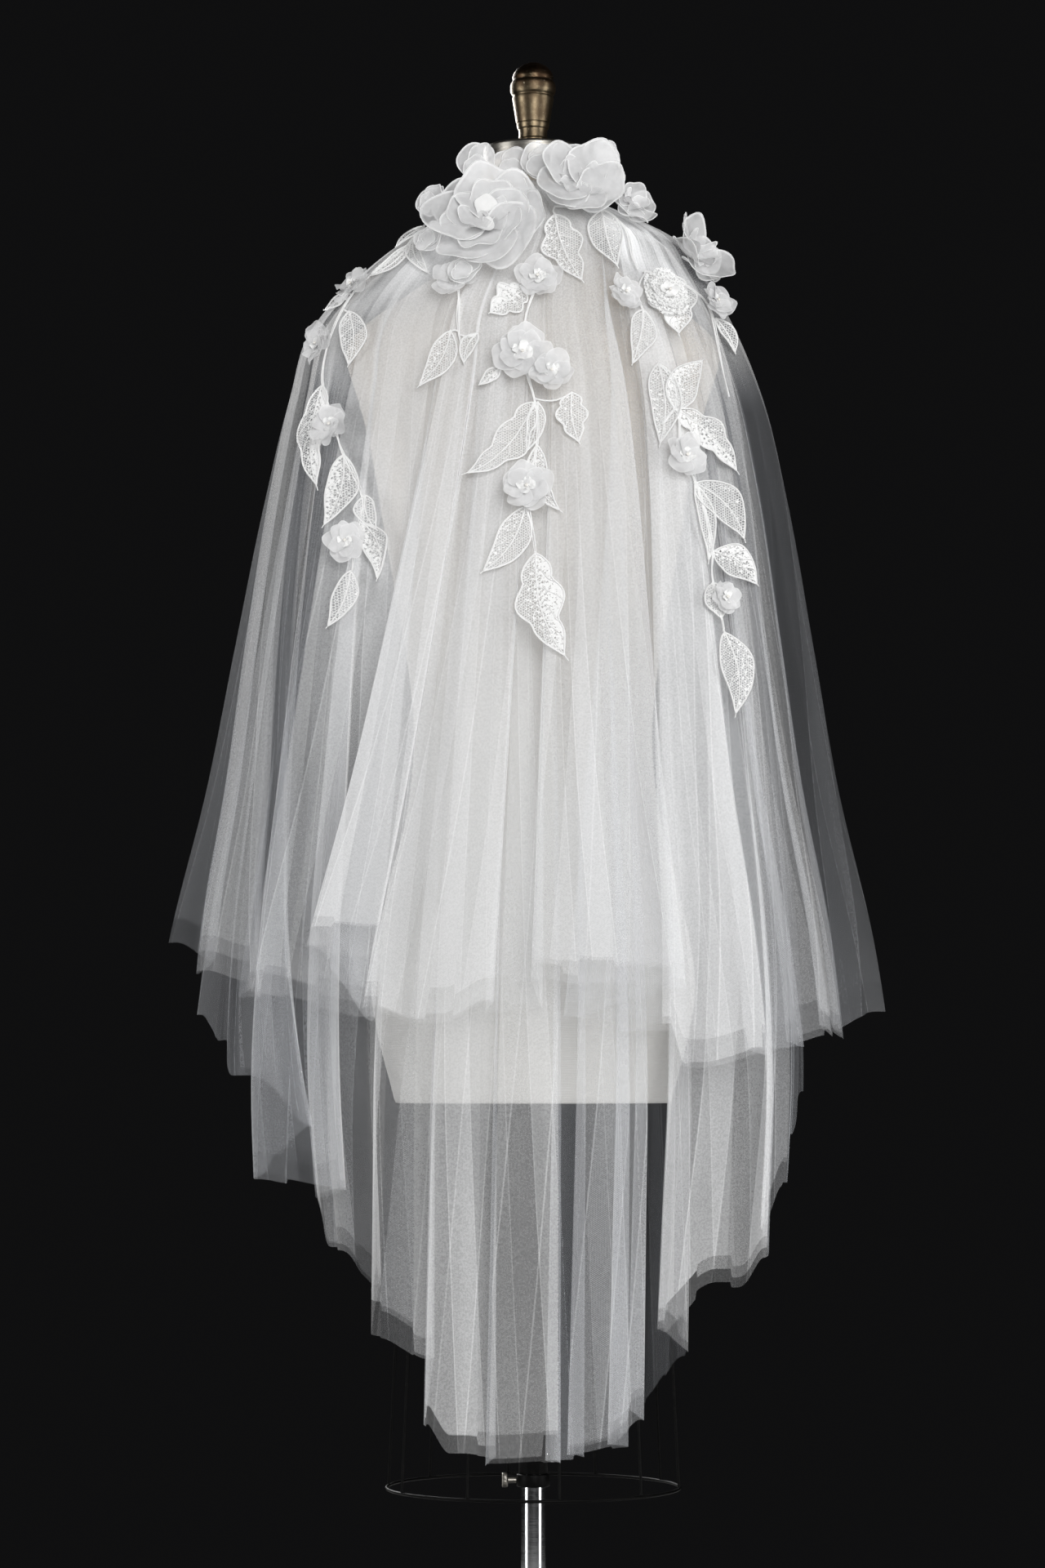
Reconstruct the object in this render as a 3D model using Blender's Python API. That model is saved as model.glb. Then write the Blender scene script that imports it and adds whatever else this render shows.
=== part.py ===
"""A two-tier tulle bridal veil with lace sprays and organza flowers, resting on a limbless dress form.

Metres, +Z up. The origin is on the floor under the pole. The veil falls down the form's back, which faces -Y,
and +X is to the right of someone who looks at that back. The form looks towards +Y.
"""

import math

import bpy
import numpy as np
from mathutils import Matrix, Vector
from mathutils.geometry import delaunay_2d_cdt

for old in list(bpy.data.objects):
    bpy.data.objects.remove(old)

# Driving dimensions. Tables are in millimetres and degrees, and MM turns them into metres.
MM = 0.001
GAP = 0.3 * MM  # between pieces that touch
TULLE = 1.0 * MM  # wall of a tulle tier
LACE = 1.0 * MM  # wall of the embroidered net
ORGANZA = 1.0 * MM  # wall of a petal
POLE_RADIUS = 12.7 * MM
SLEEVE_BORE = 13.7 * MM  # the centre tube and the form slide on the pole with this radius
SLEEVE_RADIUS = 15.0 * MM
COLLAR_RADIUS = 17.2 * MM
NECK_RADIUS = 54.0 * MM
PLATE_RADIUS = 52.0  # millimetres, as all the radii of turned profiles
BASE_RADIUS = 210.0
POINT_RADIUS = 0.4  # a turned piece ends in a disc of this radius where its profile meets the axis
HUB_TOP = 60.0 * MM
FORM_BOTTOM = 603.0 * MM
FORM_TOP = 1585.0 * MM
PLATE_TOP = 1604.0 * MM
SOCKET_TOP = 980.0 * MM
POLE_TOP = 860.0 * MM
CAGE_RADIUS = 151.0 * MM
CAGE_HEIGHT = 208.5 * MM
WIRE_RADIUS = 1.6 * MM
COLLAR_BOTTOM = 209.5 * MM
COLLAR_TOP = 222.2 * MM
BAND_INNER = 61.8 * MM
BAND_OUTER = 63.6 * MM
BAND_BOTTOM = 1544.5 * MM
BAND_TOP = 1551.5 * MM
BAND_REACH = 100.0  # degrees to each side of the nape
GATHER = 1.0 * MM  # how far the small gathers stand in and out at the band
GATHER_SHARE = 0.4  # of the cloth between two columns, the most that a gather may stand out
GATHER_LOW = 1340.0 * MM  # the gathers grow from nothing at this height
GATHER_RISE = 200.0 * MM  # to their full depth this much higher
FOLD_GROWTH = 0.7  # a fold's depth grows with its share of the way down to this power

# Columns: height, half width, depth behind the axis, sideways lean of the middle.
SHORT_BELL = [
    (640, 385, 292, -7),
    (770, 366, 276, -7),
    (930, 330, 254, -7),
    (1080, 304, 228, -6),
    (1240, 275, 198, -5),
    (1340, 251, 172, -6),
    (1410, 225, 147, -9),
    (1466, 184, 122, 0),
    (1505, 143, 101, 9),
    (1530, 96, 81, 4),
    (1546, 67, 67, 0),
    (1556, 66, 66, 0),
]
LONG_BELL = [
    (240, 335, 218, -5),
    (480, 340, 216, -5),
    (640, 342, 212, -5),
    (770, 330, 206, -5),
    (930, 304, 198, -5),
    (1080, 280, 184, -5),
    (1240, 252, 164, -5),
    (1340, 232, 148, -6),
    (1410, 210, 128, -8),
    (1466, 168, 105, -1),
    (1505, 125, 86, 7),
    (1528, 82, 70, 2),
    (1543, 60, 60, 0),
    (1552, 60, 60, 0),
]
SHORT_LEVELS = (1556, 1546, 1530, 1505, 1466, 1410, 1340)
LONG_LEVELS = (1552, 1543, 1528, 1466, 1410, 1340)
SHORT_STEPS = 5  # rows of the wall from the last level down to the hem
LONG_STEPS = 6

# Columns: what the row is, then where it meets the hem (across, depth, height), then its angle at the band.
# A fold is the edge of a panel that lies in front, a back is where the cloth turns under it.
SHORT_FOLDS = [
    ("edge", -379, 20, 769, -100),
    ("back", -328, -62, 749, -96),
    ("fold", -339, -104, 735, -92),
    ("back", -278, -138, 723, -80),
    ("fold", -290, -176, 711, -45),
    ("back", -158, -194, 688, -24),
    ("fold", -225, -222, 757, -14),
    ("fold", -158, -250, 752, -9),
    ("back", -168, -212, 698, -7),
    ("mid", -104, -242, 684, -4),
    ("fold", -42, -266, 704, 1),
    ("back", -46, -238, 695, 3),
    ("back", 7, -228, 697, 5),
    ("fold", 0, -270, 725, 7),
    ("mid", 76, -282, 718, 13),
    ("fold", 148, -262, 715, 22),
    ("back", 29, -232, 685, 26),
    ("back", 126, -214, 678, 31),
    ("mid", 158, -212, 638, 35),
    ("fold", 232, -186, 651, 38.5),
    ("back", 210, -164, 657, 41),
    ("fold", 271, -150, 660, 43.5),
    ("back", 254, -120, 666, 46),
    ("fold", 303, -108, 675, 48.5),
    ("back", 290, -80, 681, 53),
    ("fold", 317, -58, 668, 58),
    ("back", 308, -26, 681, 61),
    ("edge", 366, 22, 699, 100),
]
LONG_FOLDS = [
    ("edge", -353, 35, 697, -100),
    ("mid", -320, -30, 669, -94),
    ("fold", -296, -110, 631, -88),
    ("back", -220, -172, 583, -80),
    ("fold", -288, -42, 527, -64),
    ("fold", -190, -122, 516, -50),
    ("back", -226, -20, 507, -42),
    ("mid", -201, -18, 455, -37),
    ("back", -158, -70, 420, -31),
    ("fold", -159, -150, 374, -20),
    ("back", -101, -150, 351, -16),
    ("fold", -108, -196, 288, -11),
    ("mid", -77, -206, 259, -8),
    ("back", -38, -182, 255, -5),
    ("fold", -45, -220, 249, -1),
    ("fold", 24, -220, 252, 5),
    ("back", 12, -188, 253, 7.5),
    ("back", 50, -178, 253, 10),
    ("fold", 34, -206, 258, 12.5),
    ("fold", 92, -200, 267, 17),
    ("back", 74, -166, 266, 19.5),
    ("fold", 110, -164, 289, 22),
    ("back", 94, -130, 299, 24.5),
    ("fold", 156, -134, 354, 30),
    ("back", 124, -94, 375, 34),
    ("mid", 196, -64, 419, 42),
    ("fold", 242, -45, 448, 48),
    ("back", 228, -104, 478, 57),
    ("fold", 256, -90, 523, 63),
    ("mid", 266, -46, 572, 76),
    ("edge", 281, 15, 614, 100),
]

# Columns: height, half width, depth to the back, depth to the front.
FORM_SECTIONS = [
    (603, 140, 101, 106),
    (615, 146, 107, 111),
    (720, 168, 117, 112),
    (820, 152, 105, 103),
    (900, 132, 93, 98),
    (980, 124, 88, 97),
    (1060, 131, 93, 105),
    (1140, 145, 101, 122),
    (1210, 157, 106, 131),
    (1270, 167, 107, 122),
    (1330, 181, 101, 101),
    (1372, 194, 88, 84),
    (1395, 193, 76, 73),
    (1420, 170, 66, 63),
    (1450, 127, 60, 58),
    (1480, 87, 57, 56),
    (1510, 62, 55, 55),
    (1540, 54, 54, 54),
]

# Columns: height, radius of the turned finial, from its top down.
FINIAL_PROFILE = [
    (1694.7, 0),
    (1693, 9),
    (1689, 16),
    (1683, 20.5),
    (1677, 21.9),
    (1675.5, 21.5),
    (1672, 23.2),
    (1667, 24),
    (1662, 23.4),
    (1659, 21.2),
    (1656.5, 21.6),
    (1652, 21.2),
    (1641, 19.4),
    (1631, 18),
    (1629.3, 17.2),
    (1624, 16.2),
    (1622.6, 15.2),
    (1614, 15.2),
    (1612.5, 13.7),
    (1611, 14.6),
    (1609.5, 15.6),
    (1604.3, 15.6),
]

# Columns: height, radius of the round base, from its hub down.
BASE_PROFILE = [
    (60, 0),
    (60, 26),
    (56, 30),
    (40, 34),
    (28, 110),
    (18, 196),
    (11, BASE_RADIUS - 1),
    (0, BASE_RADIUS),
]

# Columns: distance out from the collar, radius of the thumb screw.
SCREW_PROFILE = [
    (0.3, 3.2),
    (9, 3.2),
    (9.2, 7.5),
    (15, 7.5),
]

# Each spray of lace: the gap under it, its main stem, points across and up, then a row for each leaf.
# Columns of a leaf: form, base across, base up, tip across, tip up, width.
SPRAYS = {
    "spray_left": {
        "lift": 1.2,
        "stem": [
            (-112, 1511), (-127, 1487), (-154, 1463), (-182, 1440), (-204, 1400), (-216, 1345),
            (-201, 1289), (-193, 1258), (-181, 1214), (-181, 1186), (-192, 1137),
        ],
        "leaves": [
            ("leaf", -126, 1485, -169, 1452, 14),
            ("leaf", -112, 1508, -141, 1488, 14),
            ("leaf", -122, 1495, -111, 1450, 15),
            ("leaf", -192, 1436, -221, 1425, 16),
            ("leaf", -188, 1413, -187, 1355, 27),
            ("lobed", -216, 1336, -222, 1230, 36),
            ("leaf", -193, 1258, -211, 1187, 27),
            ("leaf", -177, 1215, -170, 1180, 17),
            ("leaf", -179, 1186, -168, 1130, 26),
            ("leaf", -192, 1137, -211, 1082, 18),
        ],
    },
    "spray_inner": {
        "lift": 1.2,
        "stem": [(-76, 1442), (-75, 1418), (-74, 1395), (-75, 1361)],
        "leaves": [
            ("leaf", -83, 1382, -116, 1326, 26),
            ("leaf", -57, 1379, -70, 1348, 14),
        ],
    },
    "spray_centre": {
        "lift": 1.2,
        "stem": [
            (5, 1438), (-8, 1395), (-8, 1350), (2, 1302), (4, 1260), (-5, 1205), (3, 1149),
        ],
        "leaves": [
            ("lobed", -8, 1428, -44, 1402, 37),
            ("leaf", -34, 1342, -55, 1325, 12),
            ("lobed", 38, 1315, 44, 1264, 30),
            ("lobed", 1, 1305, -66, 1232, 37),
            ("leaf", 5, 1305, -6, 1255, 18),
            ("leaf", 4, 1260, 24, 1193, 23),
            ("leaf", -8, 1196, -50, 1132, 33),
            ("lobed", 3, 1149, 29, 1045, 47),
        ],
    },
    "spray_neck": {
        "lift": 2.8,
        "stem": [(22, 1520), (46, 1520), (70, 1521), (91, 1501), (101, 1474), (108, 1453)],
        "leaves": [
            ("lobed", 22, 1510, 47, 1437, 40),
            ("leaf", 70, 1518, 84, 1456, 36),
        ],
    },
    "spray_shoulder": {
        "lift": 2.0,
        "stem": [
            (114, 1452), (138, 1450), (163, 1440), (182, 1424), (195, 1380), (206, 1324),
        ],
        "leaves": [
            ("lobed", 136, 1452, 152, 1387, 50),
            ("leaf", 115, 1409, 101, 1350, 28),
            ("leaf", 193, 1410, 216, 1377, 17),
        ],
    },
    "spray_right": {
        "lift": 1.2,
        "stem": [
            (137, 1288), (152, 1304), (158, 1254), (171, 1228), (190, 1165), (191, 1129), (204, 1081),
        ],
        "leaves": [
            ("leaf", 132, 1352, 137, 1269, 31),
            ("leaf", 150, 1304, 176, 1360, 32),
            ("lobed", 152, 1304, 216, 1247, 33),
            ("leaf", 171, 1228, 226, 1177, 37),
            ("leaf", 172, 1226, 187, 1150, 17),
            ("leaf", 192, 1159, 240, 1131, 33),
            ("leaf", 191, 1126, 201, 1091, 27),
            ("leaf", 205, 1076, 220, 995, 36),
        ],
    },
}
STEM_WIDTH = 3.6 * MM
STEM_PAST = 0.5 * MM  # how far each stretch of stem runs past its ends
STALK_REACH = 0.06  # share of a leaf's length that its stalk runs into it
STALK_LEAST = 1.0 * MM  # a leaf nearer to its stem than this has no stalk
FLAT_MERGE = 0.4 * MM  # points of a spray closer than this become one
# Width of a leaf at even steps from base to tip, as a share of its full width.
LEAF_FORMS = {
    "leaf": (0.84, 1.0, 0.60),
    "lobed": (0.95, 0.66, 1.0, 0.62),
}

# Columns: name, across, up, lift of its underside over the cloth, diameter, petals, turn.
SMALL_FLOWERS = [
    ("flower_left_1", -182, 1439, 3, 47, 5, 10),
    ("flower_left_2", -217, 1380, 3, 46, 5, 40),
    ("flower_left_3", -201, 1289, 4, 46, 5, 0),
    ("flower_left_4", -192, 1166, 8, 44, 5, 25),
    ("flower_inner", -76, 1435, 4, 48, 5, 15),
    ("flower_centre_1", 5, 1436, 4, 50, 5, 30),
    ("flower_centre_2", -10, 1354, 4, 62, 6, 5),
    ("flower_centre_3", 20, 1330, 15, 44, 5, 50),
    ("flower_centre_4", -5, 1215, 6, 54, 5, 20),
    ("flower_neck", 90, 1424, 4, 42, 5, 35),
    ("flower_shoulder_1", 136, 1428, 4, 56, 6, 12),
    ("flower_shoulder_2", 181, 1420, 13, 42, 5, 28),
    ("flower_right_1", 158, 1254, 5, 46, 5, 8),
    ("flower_right_2", 201, 1111, 5, 37, 5, 44),
]

# Columns: name, where its base is, the way it faces, radius, petals, cup, turn.
# A cup is how far the rim rises over the base, as a share of the radius.
ROSE_RINGS = [
    ("rose_nape_outer", (-45, -116, 1504), (-0.15, -0.86, 0.48), 62, 7, 0.22, 0),
    ("rose_nape_middle", (-46, -121, 1507), (-0.15, -0.86, 0.48), 42, 5, 0.34, 20),
    ("rose_nape_heart", (-47, -126, 1510), (-0.15, -0.86, 0.48), 24, 4, 0.60, 35),
    ("rose_neck_outer", (52, -98, 1552), (0.22, -0.84, 0.50), 44, 6, 0.24, 10),
    ("rose_neck_heart", (53, -104, 1555), (0.22, -0.84, 0.50), 25, 5, 0.50, 30),
    ("rose_side_outer", (98, -76, 1524), (0.52, -0.68, 0.52), 30, 6, 0.30, 0),
    ("rose_side_heart", (101, -80, 1527), (0.52, -0.68, 0.52), 16, 4, 0.60, 15),
    ("rose_shoulder_outer", (162, -44, 1475), (0.70, -0.40, 0.59), 41, 6, 0.40, 5),
    ("rose_shoulder_heart", (166, -46, 1479), (0.70, -0.40, 0.59), 22, 5, 0.70, 25),
]

WIDE_ROSE = 40  # a ring of petals wider than this gets one more row of points

# Columns: name, where its base is, the way it faces, radius. Loose petals round the crown.
CROWN_PETALS = [
    ("crown_petal_1", (-57, -80, 1572), (-0.30, -0.90, 0.10), 21),
    ("crown_petal_2", (-104, -92, 1530), (-0.55, -0.75, 0.35), 18),
    ("crown_petal_3", (6, -86, 1572), (0.05, -0.95, 0.15), 19),
    ("crown_petal_4", (-105, -117, 1486), (-0.50, -0.75, 0.42), 18),
    ("crown_petal_5", (-70, -143, 1448), (-0.20, -0.85, 0.48), 17),
    ("crown_petal_6", (-22, -72, 1570), (-0.10, -0.95, 0.12), 20),
    ("crown_petal_7", (25, -70, 1580), (0.16, -0.95, 0.12), 15),
    ("crown_petal_8", (70, -55, 1583), (0.55, -0.80, 0.16), 20),
]


def material(name, colour, roughness, metallic=0.0, alpha=1.0):
    """A plain finish with the colour, roughness and metallic value of one sub-part."""
    made = bpy.data.materials.new(name)
    made.use_nodes = True
    shader = made.node_tree.nodes["Principled BSDF"]
    shader.inputs["Base Color"].default_value = (*colour, 1.0)
    shader.inputs["Roughness"].default_value = roughness
    shader.inputs["Metallic"].default_value = metallic
    shader.inputs["Alpha"].default_value = alpha
    return made


def solid(name, points, faces, finish):
    """One named object from points and faces, its faces turned outwards, shaded smooth under 40 degrees."""
    mesh = bpy.data.meshes.new(name)
    places = [tuple(float(c) for c in p) for p in points]
    corners = [tuple(int(i) for i in f) for f in faces]
    mesh.from_pydata(places, [], corners)
    mesh.validate()
    made = bpy.data.objects.new(name, mesh)
    bpy.context.collection.objects.link(made)
    mesh.materials.append(finish)
    if signed_volume(mesh) < 0:
        mesh.flip_normals()
    mesh.shade_smooth()
    mesh.set_sharp_from_angle(angle=math.radians(40))
    return made


def signed_volume(mesh):
    """Six times the volume that the faces enclose, below zero when they point inwards."""
    mesh.calc_loop_triangles()
    total = 0.0
    for triangle in mesh.loop_triangles:
        a, b, c = (mesh.vertices[i].co for i in triangle.vertices)
        total += a.dot(b.cross(c))
    return total


def through(places, values, at):
    """A smooth curve through a table: a cubic between rows, its slope at a row set by the rows beside it."""
    places, values, at = (np.asarray(v, float) for v in (places, values, at))
    slopes = np.gradient(values, places)
    i = np.clip(np.searchsorted(places, at, side="right") - 1, 0, len(places) - 2)
    span = places[i + 1] - places[i]
    t = np.clip((at - places[i]) / span, 0.0, 1.0)
    rise = values[i] * (2 * t**3 - 3 * t**2 + 1) + values[i + 1] * (3 * t**2 - 2 * t**3)
    bend = slopes[i] * (t**3 - 2 * t**2 + t) + slopes[i + 1] * (t**3 - t**2)
    return rise + span * bend


def bell_at(bell, height):
    """Half width, depth and lean of a bell at a height or an array of heights, in metres."""
    table = np.array(bell, float) * MM
    return [np.interp(height, table[:, 0], table[:, k]) for k in (1, 2, 3)]


def fold_lines(folds, bell, columns_between=(0.0, 0.2, 0.8)):
    """Where each column of a tier leaves the band and meets the hem.

    A smooth curve runs through the table's rows. The hem's place becomes an angle round the bell and how
    proud of the bell it stands, 1 being on it. A panel that runs back under another is left straight.
    Returns angle at the band, angle, proudness and height at the hem.
    """
    table = np.array([row[1:4] for row in folds], float)
    rows = np.arange(len(table))
    forward = np.diff(np.arctan2(table[:, 0], -table[:, 1])) > 0
    at = [row + step for row in rows[:-1] for step in columns_between if forward[row] or step == 0]
    at = np.array(at + [rows[-1]])
    x, y, hem = (through(rows, table[:, k] * MM, at) for k in range(3))
    top_angle = np.radians(np.interp(at, rows, [row[4] for row in folds]))
    half_width, depth, lean = bell_at(bell, hem)
    across, back = (x - lean) / half_width, -y / depth
    return top_angle, np.arctan2(across, back), np.hypot(across, back), hem


def gather_at(height):
    """How much of the gathers' depth shows at a height or an array of heights."""
    return np.clip((height - GATHER_LOW) / GATHER_RISE, 0.0, 1.0)


def tier_points(lines, bell, heights, gather=0.0):
    """Points of a tier at the given heights: a column's angle runs straight from the band to the hem."""
    top_angle, hem_angle, hem_proud, hem = lines
    top = bell[-1][0] * MM
    share = (top - heights) / (top - hem)
    angle = top_angle + (hem_angle - top_angle) * share
    proud = 1 + (hem_proud - 1) * share**FOLD_GROWTH
    half_width, depth, lean = bell_at(bell, heights)
    spread = np.gradient(top_angle) * half_width
    wave = np.where(np.arange(len(hem)) % 2, 1.0, -1.0) * np.minimum(gather, GATHER_SHARE * spread)
    wave = wave * gather_at(heights)
    x = lean + (proud * half_width + wave) * np.sin(angle)
    y = -(proud * depth + wave) * np.cos(angle)
    return np.stack([x, y, heights], axis=-1)


def tier_rows(lines, levels, steps):
    """Heights of a tier's rows: fixed levels over the shoulders, then even steps down to the hem."""
    hem = lines[3]
    fixed = np.array(levels)[:, None] * MM + 0 * hem
    last = fixed[-1]
    down = np.linspace(0, 1, steps + 1)[1:, None]
    return np.concatenate([fixed, last + (hem - last) * down])


def grid_normals(grid):
    """Unit normals of a grid of points: at each column, the mean of those of the strips on its two sides."""
    down = np.gradient(grid, axis=0)
    step = np.diff(grid, axis=1)
    normal = np.zeros_like(grid)
    for columns in (slice(None, -1), slice(1, None)):
        strip_normal = np.cross(step, down[:, columns])
        normal[:, columns] += strip_normal / np.linalg.norm(strip_normal, axis=-1, keepdims=True)
    return normal / np.linalg.norm(normal, axis=-1, keepdims=True)


def wall(name, outer, inner, finish):
    """A closed wall between two grids of points, every square cut along the outer grid's shorter diagonal."""
    rows, columns = outer.shape[:2]
    count = rows * columns
    number = np.arange(count).reshape(rows, columns)
    a, b = number[:-1, :-1].ravel(), number[:-1, 1:].ravel()
    c, d = number[1:, 1:].ravel(), number[1:, :-1].ravel()
    flat = outer.reshape(-1, 3)
    falling = np.linalg.norm(flat[a] - flat[c], axis=1) <= np.linalg.norm(flat[b] - flat[d], axis=1)
    upper = np.stack([a, b, np.where(falling, c, d)], 1)
    lower = np.stack([np.where(falling, a, b), c, d], 1)
    one_side = np.concatenate([upper, lower])
    faces = [tuple(f) for f in one_side] + [tuple(f[::-1] + count) for f in one_side]
    border = list(number[0, :-1]) + list(number[:-1, -1]) + list(number[-1, :0:-1]) + list(number[:0:-1, 0])
    for here, there in zip(border, border[1:] + border[:1]):
        faces.append((here + count, there + count, there))
        faces.append((here + count, there, here))
    points = np.concatenate([outer.reshape(-1, 3), inner.reshape(-1, 3)])
    return solid(name, points, faces, finish)


def tier(name, folds, bell, levels, steps, finish):
    """One gathered tier of tulle: an even wall that follows its folds from the band to the hem."""
    lines = fold_lines(folds, bell)
    outer = tier_points(lines, bell, tier_rows(lines, levels, steps), GATHER)
    normal = grid_normals(outer)
    if normal[0, len(outer[0]) // 2, 1] > 0:
        normal = -normal
    return wall(name, outer, outer - TULLE * normal, finish)


def rings_solid(name, rings, finish):
    """A closed solid through rings with the same number of points, closed by a fan at each end."""
    sides = len(rings[0])
    points = [p for ring in rings for p in ring]
    faces = []
    for k in range(len(rings) - 1):
        for i in range(sides):
            j = (i + 1) % sides
            faces.append((k * sides + i, k * sides + j, (k + 1) * sides + j, (k + 1) * sides + i))
    for k, ring in ((0, rings[0]), (len(rings) - 1, rings[-1])):
        centre = len(points)
        points.append(tuple(sum(p[axis] for p in ring) / sides for axis in range(3)))
        for i in range(sides):
            faces.append((k * sides + (i + 1) % sides, k * sides + i, centre))
            if k:
                faces[-1] = faces[-1][::-1]
    return solid(name, points, faces, finish)


def circle(radius, height, sides):
    """Points of a level circle round the Z axis."""
    turns = [2 * math.pi * i / sides for i in range(sides)]
    return [(radius * math.sin(t), -radius * math.cos(t), height) for t in turns]


def turned(name, profile, sides, finish):
    """A solid turned round Z from rows of height and radius in millimetres."""
    rings = [circle(max(radius, POINT_RADIUS) * MM, height * MM, sides) for height, radius in profile]
    return rings_solid(name, rings[::-1], finish)


def tube(name, inner, outer, bottom, top, sides, finish):
    """A straight tube round Z with an open bore."""
    corners = [(inner, bottom), (outer, bottom), (outer, top), (inner, top)]
    loops = [circle(radius, height, sides) for radius, height in corners]
    points = [p for loop in loops for p in loop]
    faces = []
    for k in range(4):
        for i in range(sides):
            j = (i + 1) % sides
            n = (k + 1) % 4
            faces.append((k * sides + i, k * sides + j, n * sides + j, n * sides + i))
    return solid(name, points, faces, finish)


def form_ring(row, sides):
    """One level section of the form: an oval whose back half and front half have their own depths."""
    height, half_width, back, front = (v * MM for v in row)
    ring = []
    for i in range(sides):
        turn = 2 * math.pi * i / sides
        depth = back if math.cos(turn) > 0 else front
        ring.append((half_width * math.sin(turn), -depth * math.cos(turn), height))
    return ring


def dress_form(finish, sides=20):
    """The limbless form, from its flat underside to the top of its neck, with a deep socket for the pole."""
    rings = [circle(SLEEVE_BORE, SOCKET_TOP, sides), circle(SLEEVE_BORE, FORM_BOTTOM, sides)]
    rings += [form_ring(row, sides) for row in FORM_SECTIONS]
    rings.append(circle(NECK_RADIUS, FORM_TOP, sides))
    return rings_solid("form_body", rings, finish)


def rod(name, start, end, radius, sides, finish):
    """A straight round rod between two points, with its ends level."""
    turns = [2 * math.pi * i / sides for i in range(sides)]
    ring = [(radius * math.cos(t), radius * math.sin(t)) for t in turns]
    rings = [[(p[0] + x, p[1] + y, p[2]) for x, y in ring] for p in (start, end)]
    return rings_solid(name, rings, finish)


def cage(finish, wires=10, first=8.0):
    """The wire hip cage: straight wires from the form's underside down to one round wire.

    The first wire stands this many degrees round from +X, and each starts an inset in from the form's edge.
    """
    half_width, back = FORM_SECTIONS[0][1] * MM, FORM_SECTIONS[0][2] * MM
    inset = 8 * MM
    for k in range(wires):
        turn = math.radians(first + 360 / wires * k)
        high = ((half_width - inset) * math.cos(turn), -(back - inset) * math.sin(turn), FORM_BOTTOM - GAP)
        low_height = CAGE_HEIGHT + WIRE_RADIUS + GAP
        low = (CAGE_RADIUS * math.cos(turn), -CAGE_RADIUS * math.sin(turn), low_height)
        rod(f"cage_wire_{k + 1}", low, high, WIRE_RADIUS, 6, finish)
    around, across = 30, 5
    points = []
    for i in range(around):
        turn = 2 * math.pi * i / around
        for j in range(across):
            bend = 2 * math.pi * j / across
            radius = CAGE_RADIUS + WIRE_RADIUS * math.cos(bend)
            height = CAGE_HEIGHT + WIRE_RADIUS * math.sin(bend)
            points.append((radius * math.cos(turn), radius * math.sin(turn), height))
    faces = []
    for i in range(around):
        for j in range(across):
            n, m = (i + 1) % around, (j + 1) % across
            faces.append((i * across + j, n * across + j, n * across + m, i * across + m))
    solid("cage_ring", points, faces, finish)


def thumb_screw(finish, sides=10):
    """The collar's thumb screw: a short shank and a wider head, pointing to the left of the view."""
    rings = []
    for along, radius in SCREW_PROFILE:
        ring = []
        for i in range(sides):
            turn = 2 * math.pi * i / sides
            x = -(COLLAR_RADIUS + along * MM)
            y = radius * MM * math.cos(turn)
            z = (COLLAR_BOTTOM + COLLAR_TOP) / 2 + radius * MM * math.sin(turn)
            ring.append((x, y, z))
        rings.append(ring)
    rings_solid("collar_screw", rings, finish)


def gather_band(finish, steps=20):
    """The binding round the nape, between the gathered tops of the two tiers."""
    turns = np.radians(np.linspace(-BAND_REACH, BAND_REACH, steps + 1))
    grids = []
    for radius in (BAND_OUTER, BAND_INNER):
        x, y = radius * np.sin(turns), -radius * np.cos(turns)
        rows = [np.stack([x, y, 0 * turns + z], -1) for z in (BAND_TOP, BAND_BOTTOM)]
        grids.append(np.stack(rows))
    wall("gather_band", grids[0], grids[1], finish)


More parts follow.
